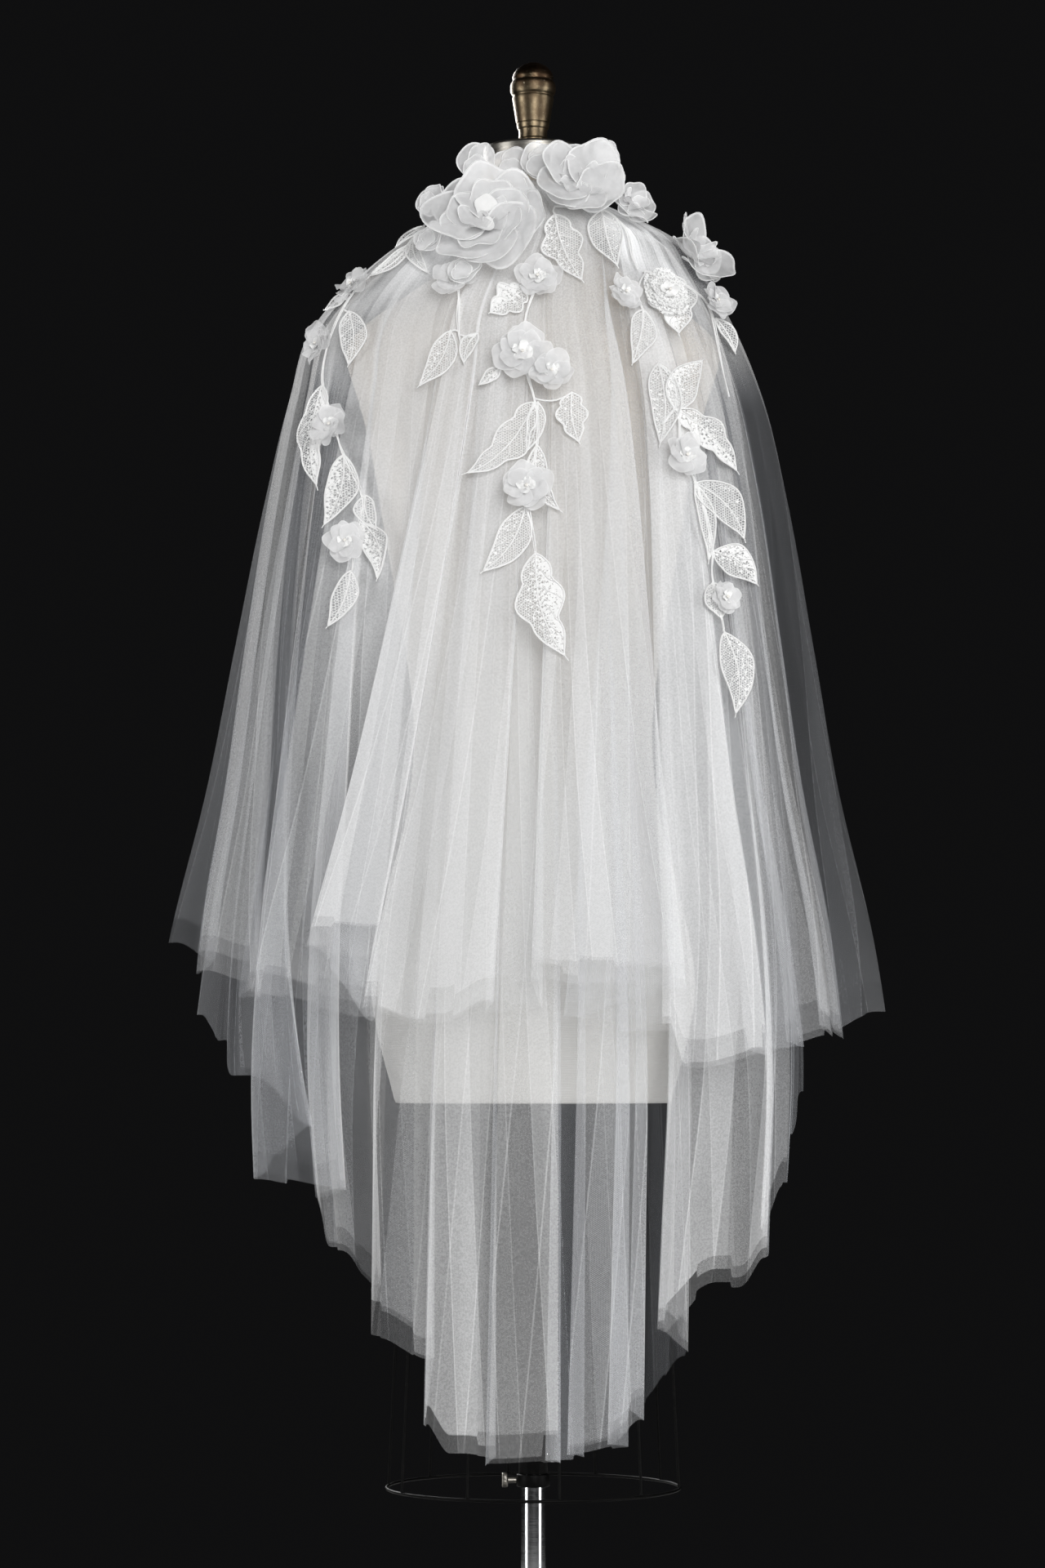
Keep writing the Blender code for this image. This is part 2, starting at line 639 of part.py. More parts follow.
class VeilTop:
    """The outermost surface of the short tier as a map of angle and height, for all that is sewn on it."""

    REACH, TURN = 96, 2  # degrees to each side, and between two columns of the map
    LOW, HIGH, RISE = 900 * MM, 1550 * MM, 10 * MM  # its heights, and the step between two rows
    LEAST = 0.9  # proudness where no layer of the tier passes
    EDGE = 0.94  # past this share of the half width, a place seen from behind moves on round the side
    NEAR_TURN, NEAR_RISE = math.radians(2.5), 8 * MM  # how far apart the points are that give the normal

    def __init__(self):
        """Find how proud the furthest layer stands at each place, then widen each crest a little."""
        lines = fold_lines(SHORT_FOLDS, SHORT_BELL, np.linspace(0, 0.9, 10))
        self.angles = np.radians(np.arange(-self.REACH, self.REACH + 1, self.TURN))
        self.heights = np.arange(self.LOW, self.HIGH + self.RISE / 2, self.RISE)
        crest = np.ones((len(self.heights), len(self.angles)))
        top = SHORT_BELL[-1][0] * MM
        top_angle, hem_angle, hem_proud, hem = lines
        for row, height in enumerate(self.heights):
            share = (top - height) / (top - hem)
            angle = top_angle + (hem_angle - top_angle) * share
            proud = 1 + (hem_proud - 1) * share**FOLD_GROWTH
            start, end = angle[:-1, None], angle[1:, None]
            part = (self.angles - start) / np.where(abs(end - start) < 1e-9, 1e-9, end - start)
            layer = proud[:-1, None] + (proud[1:] - proud[:-1])[:, None] * part
            layer = np.where((part >= 0) & (part <= 1), layer, 0.0)
            crest[row] = np.maximum(layer.max(axis=0), self.LEAST)
        wide = np.pad(crest, ((1, 1), (2, 2)), mode="edge")
        shifts = [wide[i : i + crest.shape[0], j : j + crest.shape[1]] for i in range(3) for j in range(5)]
        self.crest = np.max(shifts, axis=0)

    def proud(self, angle, height):
        """How proud the cloth stands at one angle and height, read between the map's places."""
        turn = self.angles[1] - self.angles[0]
        column = np.clip((angle - self.angles[0]) / turn, 0, len(self.angles) - 1.001)
        row = np.clip((height - self.LOW) / self.RISE, 0, len(self.heights) - 1.001)
        i, j = int(row), int(column)
        s, t = row - i, column - j
        near = self.crest[i, j] * (1 - t) + self.crest[i, j + 1] * t
        far = self.crest[i + 1, j] * (1 - t) + self.crest[i + 1, j + 1] * t
        return near * (1 - s) + far * s

    def on_cloth(self, angle, height):
        """The point of the map at an angle and height."""
        half_width, depth, lean = bell_at(SHORT_BELL, height)
        proud = self.proud(angle, height)
        reach = GATHER * float(gather_at(height))
        x = lean + (proud * half_width + reach) * math.sin(angle)
        y = -(proud * depth + reach) * math.cos(angle)
        return Vector((x, y, height))

    def place(self, x, z, lift):
        """The point over the cloth seen at x and z from behind, moved out by lift, and the cloth's normal."""
        half_width, _, lean = bell_at(SHORT_BELL, z)
        across = (x - lean) / half_width
        seen = max(-self.EDGE, min(self.EDGE, across))
        angle = math.asin(seen) + (across - seen) / math.sqrt(1 - seen**2)
        turn, rise = self.NEAR_TURN, self.NEAR_RISE
        along = self.on_cloth(angle + turn, z) - self.on_cloth(angle - turn, z)
        up = self.on_cloth(angle, z + rise) - self.on_cloth(angle, z - rise)
        normal = along.cross(up).normalized()
        return self.on_cloth(angle, z) + normal * lift, normal


def leaf_halves(form, base, tip, width):
    """The two halves of a leaf on the flat, each from the midrib out to one edge."""
    shares = LEAF_FORMS[form]
    run = tip - base
    side = Vector((-run.y, run.x)).normalized()
    stations = [(k + 1) / (len(shares) + 1) for k in range(len(shares))]
    middle = [base + run * s for s in stations]
    halves = []
    for sign in (1, -1):
        edge = [m + side * (sign * share * width / 2) for m, share in zip(middle, shares)]
        halves.append([base] + edge + [tip] + middle[::-1])
    return halves


def strip(start, end, width):
    """A narrow strip on the flat between two points, a little past each end."""
    run = (end - start).normalized()
    side = Vector((-run.y, run.x)) * (width / 2)
    start, end = start - run * STEM_PAST, end + run * STEM_PAST
    return [start - side, end - side, end + side, start + side]


def lace_spray(name, stem, leaves, lift, veil, finish):
    """One spray of embroidered net: leaves and stems joined on the flat, then laid over the tulle."""
    line = [Vector((x * MM, z * MM)) for x, z in stem]
    shapes = [strip(a, b, STEM_WIDTH) for a, b in zip(line, line[1:])]
    for form, base_x, base_z, tip_x, tip_z, width in leaves:
        base, tip = Vector((base_x * MM, base_z * MM)), Vector((tip_x * MM, tip_z * MM))
        shapes += leaf_halves(form, base, tip, width * MM)
        nearest = min(line, key=lambda p: (p - base).length)
        if (nearest - base).length > STALK_LEAST:
            shapes.append(strip(nearest, base + (tip - base) * STALK_REACH, STEM_WIDTH))
    flat, faces = [], []
    for shape in shapes:
        area = sum(a.x * b.y - b.x * a.y for a, b in zip(shape, shape[1:] + shape[:1]))
        shape = shape if area > 0 else shape[::-1]
        faces.append(list(range(len(flat), len(flat) + len(shape))))
        flat += shape
    flat, _, triangles, _, _, _ = delaunay_2d_cdt(flat, [], faces, 1, FLAT_MERGE)
    under = [veil.place(p.x, p.y, lift * MM)[0] for p in flat]
    over = [veil.place(p.x, p.y, lift * MM + LACE)[0] for p in flat]
    count = len(flat)
    sides = {}
    made = []
    for t in triangles:
        made.append(tuple(i + count for i in t))
        made.append(tuple(reversed(t)))
        for a, b in zip(t, list(t[1:]) + [t[0]]):
            sides[(a, b)] = sides.get((a, b), 0) + 1
    for a, b in sides:
        if (b, a) not in sides:
            made.append((a, b, b + count))
            made.append((a, b + count, a + count))
    used = sorted({i for f in made for i in f})
    new_number = {old: k for k, old in enumerate(used)}
    points = [(under + over)[i] for i in used]
    return solid(name, points, [tuple(new_number[i] for i in f) for f in made], finish)


def facing(axis, turn):
    """A rotation whose Z points along axis, turned about it."""
    way = Vector(axis).normalized()
    return way.to_track_quat("Z", "Y").to_matrix() @ Matrix.Rotation(math.radians(turn), 3, "Z")


def petal_ring(name, base, axis, radius, petals, cup, turn, finish, rings=(0.5, 1.0)):
    """A ring of petals cut in one piece: a dish with a lobe for each petal.

    The dish rises with a power of the share of the way out. Each petal has its reach and lift at three places,
    so that its one side stands over the next petal.
    """
    lobes = (0.74, 1.0, 0.98)
    rise = (0.0, -0.03, 0.05)
    dish_power = 1.7
    per_petal = len(lobes)
    around = petals * per_petal
    rotation = facing(axis, turn)
    points = []
    for lower in (0.0, ORGANZA):
        points.append(Vector((0, 0, -lower)))
        for share in rings:
            for i in range(around):
                bend = 2 * math.pi * i / around
                reach = radius * share * (1 + (lobes[i % per_petal] - 1) * share)
                height = radius * (cup * share**dish_power + rise[i % per_petal] * share)
                points.append(Vector((reach * math.cos(bend), reach * math.sin(bend), height - lower)))
    count = 1 + around * len(rings)
    faces = []
    for i in range(around):
        j = (i + 1) % around
        faces.append((0, 1 + i, 1 + j))
        faces.append((count, count + 1 + j, count + 1 + i))
        for k in range(len(rings) - 1):
            a, b = 1 + k * around + i, 1 + k * around + j
            c, d = b + around, a + around
            faces += [(a, d, c), (a, c, b)]
            faces += [(a + count, c + count, d + count), (a + count, b + count, c + count)]
        rim = 1 + (len(rings) - 1) * around
        faces += [(rim + i, rim + i + count, rim + j + count), (rim + i, rim + j + count, rim + j)]
    return solid(name, [Vector(base) + rotation @ p for p in points], faces, finish)


def small_flowers(veil, finish):
    """The small flowers on the sprays, each facing straight out of the cloth that it is sewn to."""
    for name, x, z, lift, diameter, petals, turn in SMALL_FLOWERS:
        base, normal = veil.place(x * MM, z * MM, lift * MM + ORGANZA)
        petal_ring(name, base, normal, diameter / 2 * MM, petals, 0.30, turn, finish)


def roses(finish):
    """The roses of the crown and the shoulder, each of two or three rings of petals set in one another."""
    for name, base, axis, radius, petals, cup, turn in ROSE_RINGS:
        place = [c * MM for c in base]
        rings = (0.4, 0.75, 1.0) if radius > WIDE_ROSE else (0.5, 1.0)
        petal_ring(name, place, axis, radius * MM, petals, cup, turn, finish, rings)


def crown_petals(finish):
    """Single round petals at the edge of the crown."""
    for name, base, axis, radius in CROWN_PETALS:
        petal_ring(name, [c * MM for c in base], axis, radius * MM, 4, 0.18, 0, finish, (1.0,))


def build():
    """Make every piece, from the floor up."""
    iron = material("cast_iron", (0.02, 0.02, 0.022), 0.45, 0.6)
    chrome = material("chrome", (0.75, 0.76, 0.78), 0.12, 1.0)
    black = material("black_wire", (0.015, 0.015, 0.016), 0.4, 0.3)
    steel = material("brushed_steel", (0.62, 0.61, 0.58), 0.32, 1.0)
    brass = material("aged_brass", (0.32, 0.24, 0.13), 0.36, 1.0)
    canvas = material("canvas", (0.66, 0.63, 0.58), 0.9)
    tulle = material("tulle", (0.93, 0.93, 0.94), 0.8, 0.0, 0.35)
    lace = material("lace", (0.95, 0.95, 0.94), 0.7)
    organza = material("organza", (0.94, 0.94, 0.94), 0.5, 0.0, 0.7)

    turned("base", BASE_PROFILE, 32, iron)
    turned("pole", [(height / MM, POLE_RADIUS / MM) for height in (POLE_TOP, HUB_TOP + GAP)], 24, chrome)
    dress_form(canvas)
    plate_bevel = 2.5
    plate_rows = [(PLATE_TOP / MM, PLATE_RADIUS - plate_bevel), (PLATE_TOP / MM - plate_bevel, PLATE_RADIUS)]
    turned("neck_plate", plate_rows + [((FORM_TOP + GAP) / MM, PLATE_RADIUS)], 32, steel)
    turned("finial", FINIAL_PROFILE, 14, brass)
    tube("centre_tube", SLEEVE_BORE, SLEEVE_RADIUS, COLLAR_TOP + GAP, FORM_BOTTOM - GAP, 24, black)
    tube("collar", SLEEVE_BORE, COLLAR_RADIUS, COLLAR_BOTTOM, COLLAR_TOP, 24, black)
    thumb_screw(chrome)
    cage(black)

    tier("tier_long", LONG_FOLDS, LONG_BELL, LONG_LEVELS, LONG_STEPS, tulle)
    tier("tier_short", SHORT_FOLDS, SHORT_BELL, SHORT_LEVELS, SHORT_STEPS, tulle)
    gather_band(organza)
    veil = VeilTop()
    for name, spray in SPRAYS.items():
        lace_spray(name, spray["stem"], spray["leaves"], spray["lift"], veil, lace)
    small_flowers(veil, organza)
    roses(organza)
    crown_petals(organza)


build()
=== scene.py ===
# %% [markdown]
# A bridal veil of soft tulle in two tiers lies over a limbless dress form, seen from its back. Lace
# sprays, small flowers and large roses are sewn over its gathers.
#
# Everything hangs on the imported frame: its bodies say what turns and slides, and its nodes say where each
# piece is. So the frame is loaded first.

# %% The frame
import math

import bmesh
import bpy
import numpy as np
from mathutils import Matrix, Vector


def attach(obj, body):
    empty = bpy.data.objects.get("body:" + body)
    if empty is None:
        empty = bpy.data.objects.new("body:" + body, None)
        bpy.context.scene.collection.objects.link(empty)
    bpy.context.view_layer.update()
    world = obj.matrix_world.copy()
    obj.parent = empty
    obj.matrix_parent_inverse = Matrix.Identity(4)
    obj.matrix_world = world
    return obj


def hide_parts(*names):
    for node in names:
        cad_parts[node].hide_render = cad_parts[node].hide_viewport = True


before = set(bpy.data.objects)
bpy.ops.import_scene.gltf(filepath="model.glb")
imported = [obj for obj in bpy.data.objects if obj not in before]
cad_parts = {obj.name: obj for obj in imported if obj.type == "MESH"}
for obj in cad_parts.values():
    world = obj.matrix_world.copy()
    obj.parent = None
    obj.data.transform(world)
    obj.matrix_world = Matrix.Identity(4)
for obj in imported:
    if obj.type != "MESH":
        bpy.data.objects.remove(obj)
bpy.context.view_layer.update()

MM = 0.001  # a millimetre, in Blender's metres

# %% [markdown]
# A finish is a tree of shader nodes. It could be wired by hand, node by node, but shader maths reads best
# as plain sums. So a small class holds a socket, and Python's operators on it add the Math nodes.

# %% A number in a shader
class Value:
    """The number at one socket of a finish. Operators and the methods below add Math nodes."""

    def __init__(self, finish, socket):
        self.finish = finish
        self.socket = socket

    def math(self, operation, *others, first=None):
        """One Math node on this value, or on first with this value second."""
        values = (self, *others) if first is None else (first, self)
        return self.finish.node("ShaderNodeMath", {"operation": operation}, dict(enumerate(values)))

    def wave(self):
        """Its sine."""
        return self.math("SINE")

    def least(self, other):
        """The smaller of two."""
        return self.math("MINIMUM", other)

    def most(self, other):
        """The larger of two."""
        return self.math("MAXIMUM", other)

    def between(self, low, high, start=0.0, end=1.0):
        """Runs softly from start to end while this value goes from low to high, and stays there."""
        sockets = {"Value": self, "From Min": low, "From Max": high, "To Min": start, "To Max": end}
        return self.finish.node("ShaderNodeMapRange", {"interpolation_type": "SMOOTHSTEP"}, sockets)


OPERATIONS = {"add": "ADD", "sub": "SUBTRACT", "mul": "MULTIPLY", "truediv": "DIVIDE", "pow": "POWER"}


def add_operator(sign, operation):
    """Let a sign work with a value before it, and with one only after it, as in 1 - mask."""
    setattr(Value, f"__{sign}__", lambda value, other: value.math(operation, other))
    setattr(Value, f"__r{sign}__", lambda value, other: value.math(operation, first=other))


for sign, operation in OPERATIONS.items():
    add_operator(sign, operation)
print("a value takes", len(OPERATIONS), "operators, from either side")

# %% [markdown]
# Every other node comes from one method, which sets the node's settings first and its sockets next. What
# is the same all over a surface is set on the shader's own sockets, and only what changes is led there.

# %% A finish that holds its nodes
class Finish:
    """One material, with a Principled shader whose constants are set by name."""

    def __init__(self, name, **constants):
        self.material = bpy.data.materials.new(name)
        self.material.use_nodes = True
        self.tree = self.material.node_tree
        self.shader = self.tree.nodes["Principled BSDF"]
        for socket, value in constants.items():
            self.shader.inputs[socket.replace("_", " ")].default_value = value

    def node(self, kind, settings=None, sockets=None, output=0):
        """A node of any kind: its settings first, then the values or links of its sockets."""
        made = self.tree.nodes.new(kind)
        for name, value in (settings or {}).items():
            setattr(made, name, value)
        for name, value in (sockets or {}).items():
            self.join(value, made.inputs[name])
        return Value(self, made.outputs[output])

    def join(self, value, socket):
        """Link a value to a socket, or set the socket to a plain number or colour."""
        if isinstance(value, Value):
            self.tree.links.new(value.socket, socket)
        else:
            socket.default_value = value

    def feed(self, **values):
        """Lead values to the shader's sockets."""
        for name, value in values.items():
            self.join(value, self.shader.inputs[name.replace("_", " ")])

    def blend(self, factor, first, second):
        """A colour that goes from first to second with the factor."""
        return self.node("ShaderNodeMix", {"data_type": "RGBA"}, {0: factor, 6: first, 7: second}, output=2)

    def place(self, output="Object"):
        """Object coordinates, or the piece's own UV map."""
        return self.node("ShaderNodeTexCoord", output=output)

    def parts(self, vector):
        """The three numbers of a vector."""
        split = self.node("ShaderNodeSeparateXYZ", sockets={"Vector": vector})
        return [Value(self, socket) for socket in split.socket.node.outputs]

    def joined(self, x, y, z=0.0):
        """A vector from three numbers."""
        return self.node("ShaderNodeCombineXYZ", sockets={"X": x, "Y": y, "Z": z})

    def grain(self, vector, scale, detail=2.0, rough=0.5):
        """Cloudy noise of the given scale along a vector."""
        sockets = {"Vector": vector, "Scale": scale, "Detail": detail, "Roughness": rough}
        return self.node("ShaderNodeTexNoise", sockets=sockets)

    def attribute(self, name):
        """A number kept at each point of the mesh."""
        return self.node("ShaderNodeAttribute", {"attribute_name": name}, output="Fac")

    def bump(self, height, depth, strength=1.0):
        """Lead a height in metres times depth to the shader's normal."""
        sockets = {"Height": height, "Distance": depth, "Strength": strength}
        self.feed(Normal=self.node("ShaderNodeBump", sockets=sockets))


print("a finish leads its nodes to the sockets of a Principled shader")

# %% [markdown]
# Every new piece is made of grids of points, each worked out as whole arrays, which is quick and exact
# where modelling by hand is neither. A grid that comes back to its start repeats its first column, and
# one that closes in a point repeats that point. Welding them at the end closes seams and poles, while the
# UV map keeps a clean start and end.

# %% Grids of points into one piece
SHARP_EDGE = 50  # degrees between faces from which an edge is shaded sharp
WELD_DISTANCE = 1e-6


class Piece:
    """Grids collected into one mesh, each with its UV map, its point attributes and its finish."""

    def __init__(self, name, *finishes):
        self.name, self.finishes = name, finishes
        self.points, self.quads, self.uvs, self.finish_of = [], [], [], []
        self.kept = {}
        self.count = 0

    def add(self, grid, out=None, uv=None, finish=0, **kept):
        """Add a grid of rows by columns, its faces towards out, or outwards where it is a closed tube."""
        grid = np.asarray(grid, float)
        rows, columns = grid.shape[:2]
        number = np.arange(rows * columns).reshape(rows, columns)
        corners = [number[:-1, :-1], number[:-1, 1:], number[1:, 1:], number[1:, :-1]]
        quads = np.stack(corners, -1).reshape(-1, 4)
        flat = grid.reshape(-1, 3)
        a, b, c, d = (flat[quads[:, k]] for k in range(4))
        areas = np.cross(c - a, d - b) / 2
        middle = (a + b + c + d) / 4
        towards = middle - flat.mean(0) if out is None else np.asarray(out, float)
        if np.sum(areas * towards) < 0:
            quads = quads[:, ::-1]
        if uv is None:
            across, down = np.meshgrid(np.linspace(0, 1, columns), np.linspace(0, 1, rows))
            uv = np.stack([across, down], -1)
        self.points.append(flat)
        self.quads.append(quads + self.count)
        self.uvs.append(np.asarray(uv, float).reshape(-1, 2)[quads.ravel()])
        self.finish_of.append(np.full(len(quads), finish))
        for key, value in kept.items():
            values = np.broadcast_to(value, grid.shape[:2]).ravel()
            self.kept.setdefault(key, []).append((self.count, values))
        self.count += len(flat)

    def make(self, weld=True):
        """The finished object, shaded smooth, its doubled points merged."""
        points, quads = np.concatenate(self.points), np.concatenate(self.quads)
        mesh = bpy.data.meshes.new(self.name)
        mesh.vertices.add(len(points))
        mesh.vertices.foreach_set("co", points.ravel())
        mesh.loops.add(quads.size)
        mesh.loops.foreach_set("vertex_index", quads.ravel())
        mesh.polygons.add(len(quads))
        mesh.polygons.foreach_set("loop_start", np.arange(len(quads)) * 4)
        mesh.update(calc_edges=True)
        uv = mesh.uv_layers.new(name="UVMap")
        uv.data.foreach_set("uv", np.concatenate(self.uvs).ravel())
        for key, parts in self.kept.items():
            values = np.zeros(len(points))
            for start, part in parts:
                values[start : start + len(part)] = part
            mesh.attributes.new(key, "FLOAT", "POINT").data.foreach_set("value", values)
        for finish in self.finishes:
            mesh.materials.append(finish.material)
        mesh.polygons.foreach_set("material_index", np.concatenate(self.finish_of))
        mesh.shade_smooth()
        if weld:
            weld_points(mesh)
        mesh.set_sharp_from_angle(angle=math.radians(SHARP_EDGE))
        made = bpy.data.objects.new(self.name, mesh)
        bpy.context.scene.collection.objects.link(made)
        return made


def weld_points(mesh):
    """Merge points that share a place and drop the faces that this flattens."""
    work = bmesh.new()
    work.from_mesh(mesh)
    bmesh.ops.remove_doubles(work, verts=work.verts, dist=WELD_DISTANCE)
    bmesh.ops.dissolve_degenerate(work, dist=WELD_DISTANCE, edges=work.edges)
    work.to_mesh(mesh)
    work.free()


def seat(made, body, slot, *nodes):
    """Let a piece ride on a body and stand for its nodes, whose parts are hidden. The slot is not used."""
    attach(made, body)
    if nodes:
        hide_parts(*nodes)
    print(f"{made.name}: {len(made.data.polygons)} faces for {len(nodes)} nodes")
    return made


print("points closer than", WELD_DISTANCE / MM, "mm are welded")

# %% [markdown]
# Most shapes are known from a few measured rows. A cubic through the rows makes them smooth. A profile
# spun round an axis makes turned pieces, and a circle carried along a path makes cords. Blender's own
# spin and curve tools could do it too, but points worked out as arrays can be measured and laid on other
# surfaces.

# %% Curves through tables, turned pieces and cords
PROFILE_STEPS = 6  # points of a turned profile from one row of its table to the next
PROFILE_TURNS = 96  # faces round a turned piece


def unit(vectors):
    """Vectors of length one."""
    return vectors / np.maximum(np.linalg.norm(vectors, axis=-1, keepdims=True), 1e-12)


def cubic(values, slopes, i, t, span=1.0):
    """From row i to the next: the cubic that meets both rows and both slopes, at the share t of the way."""
    rise = values[i] * (2 * t**3 - 3 * t**2 + 1) + values[i + 1] * (3 * t**2 - 2 * t**3)
    bend = slopes[i] * (t**3 - 2 * t**2 + t) + slopes[i + 1] * (t**3 - t**2)
    return rise + span * bend


def through(places, values, at):
    """A cubic between two rows of a table, its slope at a row set by that row's neighbours."""
    places, values, at = (np.asarray(v, float) for v in (places, values, at))
    slopes = np.gradient(values, places)
    i = np.clip(np.searchsorted(places, at, side="right") - 1, 0, len(places) - 2)
    span = places[i + 1] - places[i]
    return cubic(values, slopes, i, np.clip((at - places[i]) / span, 0.0, 1.0), span)


def even(values, at):
    """A cubic through evenly numbered values that never passes them: flat where they turn back."""
    steps = np.diff(values)
    product = steps[:-1] * steps[1:]
    mean = 2 * product / np.where(product > 0, steps[:-1] + steps[1:], 1.0)
    slopes = np.concatenate([[steps[0]], np.where(product > 0, mean, 0.0), [steps[-1]]])
    i = np.clip(at.astype(int), 0, len(values) - 2)
    return cubic(values, slopes, i, at - i)


def spun(height, radius, columns):
    """A profile spun round Z: radius times sine and cosine of the turn, at each height."""
    turns = np.linspace(0, 2 * np.pi, columns + 1)
    radius = radius[:, None]
    return np.stack([radius * np.sin(turns), -radius * np.cos(turns), height[:, None] + 0 * turns], -1)


def turned(rows):
    """A turned piece from rows of height and radius in millimetres: a smooth profile spun round Z."""
    table = np.array(rows, float) * MM
    at = np.linspace(0, len(table) - 1, (len(table) - 1) * PROFILE_STEPS + 1)
    height, radius = (even(table[:, k], at) for k in (0, 1))
    return spun(height, np.maximum(radius, 0), PROFILE_TURNS)


def circles(along, reference, sides):
    """The directions of a circle across each direction of a path, its first one square to reference."""
    side = unit(np.cross(along, np.broadcast_to(reference, along.shape)))
    up = np.cross(side, along)
    turns = np.linspace(0, 2 * np.pi, sides + 1)[:, None]
    return side[:, None] * np.cos(turns) + up[:, None] * np.sin(turns)


def swept(path, radius, reference, sides=6):
    """A round cord: radius times the circle across each point of a path, closed in a point at both ends."""
    path = np.asarray(path, float)
    radius = np.broadcast_to(radius, len(path))[:, None, None]
    rings = path[:, None] + radius * circles(unit(np.gradient(path, axis=0)), reference, sides)
    ends = [np.repeat(path[k][None, None], sides + 1, 1) for k in (0, -1)]
    return np.concatenate([ends[0], rings, ends[1]])


def swept_ring(path, radius, reference, sides):
    """A round cord along a path that comes back to its start, and the way its faces look."""
    along = unit(np.roll(path[:-1], -1, 0) - np.roll(path[:-1], 1, 0))
    out = circles(np.concatenate([along, along[:1]]), reference, sides)
    return path[:, None] + radius * out, out[:-1, :-1].reshape(-1, 3)


print("a curve through 0, 1 and 4 passes", through([0, 1, 2], [0, 1, 4], [0.5, 1.5]), "halfway")

# %% [markdown]
# Tulle is a hexagonal net of very thin white thread. From a step away it is a white haze whose strength
# depends on how many layers, small gathers and slanting stretches lie behind each other. Every layer
# could be a sheet of its own, but dozens of see-through sheets are slow and flicker. So each point of the
# cloth keeps a number, its cover, and the haze grows with it as when light passes one layer after
# another.

# %% Tulle
TULLE_HAZE = 0.075  # share of light that one flat layer stops
NET_HOLE = 1.7 * MM
NET_CONTRAST = (1.5, 0.62)  # how much more the threads stop, and what is taken off so that the mean stays
UNEVEN_NET = 560.0  # grains to a metre
# Columns: how many pleats to a metre of cloth, and how far they lean along it for each metre down.
PLEAT_FAMILIES = [(26.0, 0.09), (41.0, -0.07)]
PLEAT_SHARE = 0.21  # how much more or less one pleat covers than the next
CREASE = 0.034  # half width of a pleat's doubled edge, as a share of the pleat
CREASE_STRENGTH = 0.8  # most that a doubled edge adds
INNER_HEMS = 2  # hems that hang over the lowest one where layers lie together
THIN_TONE = (0.86, 0.885, 0.935, 1.0)
THICK_TONE = (0.888, 0.892, 0.9, 1.0)


def net_of(finish, vector, hole):
    """A hexagonal net: where three waves, a third of a turn apart, are low together there is thread."""
    x, y, _ = finish.parts(vector)
    pace = 2 * math.pi / hole
    total = 0.0
    for turn in (0, 120, 240):
        way_x, way_y = math.cos(math.radians(turn)) * pace, math.sin(math.radians(turn)) * pace
        total = (x * way_x + y * way_y + math.pi / 2).wave() + total
    return total.between(-1.2, 0.4, 1.0, 0.0)


def pleat_pattern(finish, along, gathered, spread):
    """Cover of one family of pleats: a random share for each, and more along its turned edge."""
    cell = {"voronoi_dimensions": "1D", "feature": "F1"}
    edge = {"voronoi_dimensions": "1D", "feature": "DISTANCE_TO_EDGE"}
    own = finish.node("ShaderNodeTexVoronoi", cell, {"W": along, "Scale": 1.0}, output="Color")
    away = finish.node("ShaderNodeTexVoronoi", edge, {"W": along, "Scale": 1.0}, output="Distance")
    some = finish.grain(finish.joined(along * 0.9, 0.0), 1.0, 0.0)
    strength = some.between(0.4, 0.6, 0.0, CREASE_STRENGTH)
    crease = (away / gathered).between(0.0, CREASE, 1.0, 0.0)
    share = own.between(0.3, 0.7, -PLEAT_SHARE, PLEAT_SHARE)
    return (share * spread + 1.0) * (crease * strength * spread + 1.0)


def tulle_finish():
    """White haze: 1 - (1 - haze) ** cover, where cover is the layers times the pleats, grain and net."""
    finish = Finish("tulle", Roughness=0.85, Sheen_Weight=0.1, Specular_IOR_Level=0.1)
    uv = finish.place("UV")
    x, y, _ = finish.parts(uv)
    cloth, gathered = finish.attribute("cover"), finish.attribute("gathered")
    cloud = finish.grain(finish.joined(x * 9, y * 5), 1.0, 2.0, 0.5).between(0.3, 0.7, 0.92, 1.08)
    speck = finish.grain(finish.place(), UNEVEN_NET, 1.0).between(0.3, 0.7, 0.83, 1.17)
    spread = y.between(0.1, 0.6, 0.22, 1.0)
    for pace, lean in PLEAT_FAMILIES:
        cloud = cloud * pleat_pattern(finish, (x + y * lean) * pace, gathered, spread)
    contrast, mean = NET_CONTRAST
    threads = 1.0 + (net_of(finish, uv, NET_HOLE) * contrast - mean) * cloth.between(1.2, 4.0, 1.0, 0.1)
    above, single = finish.attribute("above"), finish.attribute("single")
    hung = 0.0
    for k in range(INNER_HEMS):
        hung = (above - finish.attribute(f"inner_hem_{k}")).between(-0.0004, 0.0004) + hung
    hung = single + (1.0 - single) * hung / INNER_HEMS
    haze = 1.0 - (1.0 - TULLE_HAZE) ** (cloth * cloud * speck * threads * hung)
    finish.feed(Base_Color=finish.blend(cloth.between(0.5, 5.0), THIN_TONE, THICK_TONE), Alpha=haze)
    return finish


tulle = tulle_finish()
print("tulle: one layer stops", TULLE_HAZE, "of the light, its holes are", NET_HOLE * 1000, "mm wide")

# %% [markdown]
# Both tiers hang from the neck in folds. Each row of a table is one fold line: where it meets the hem,
# and its angle at the band. Between band and hem a line's angle runs straight with height, and its
# proudness, which is how far it stands off a plain bell, grows with a power of the share of the way down.
# Net that is pleated on itself is too thin to show as separate sheets, so a panel says how many layers
# lie together in it.

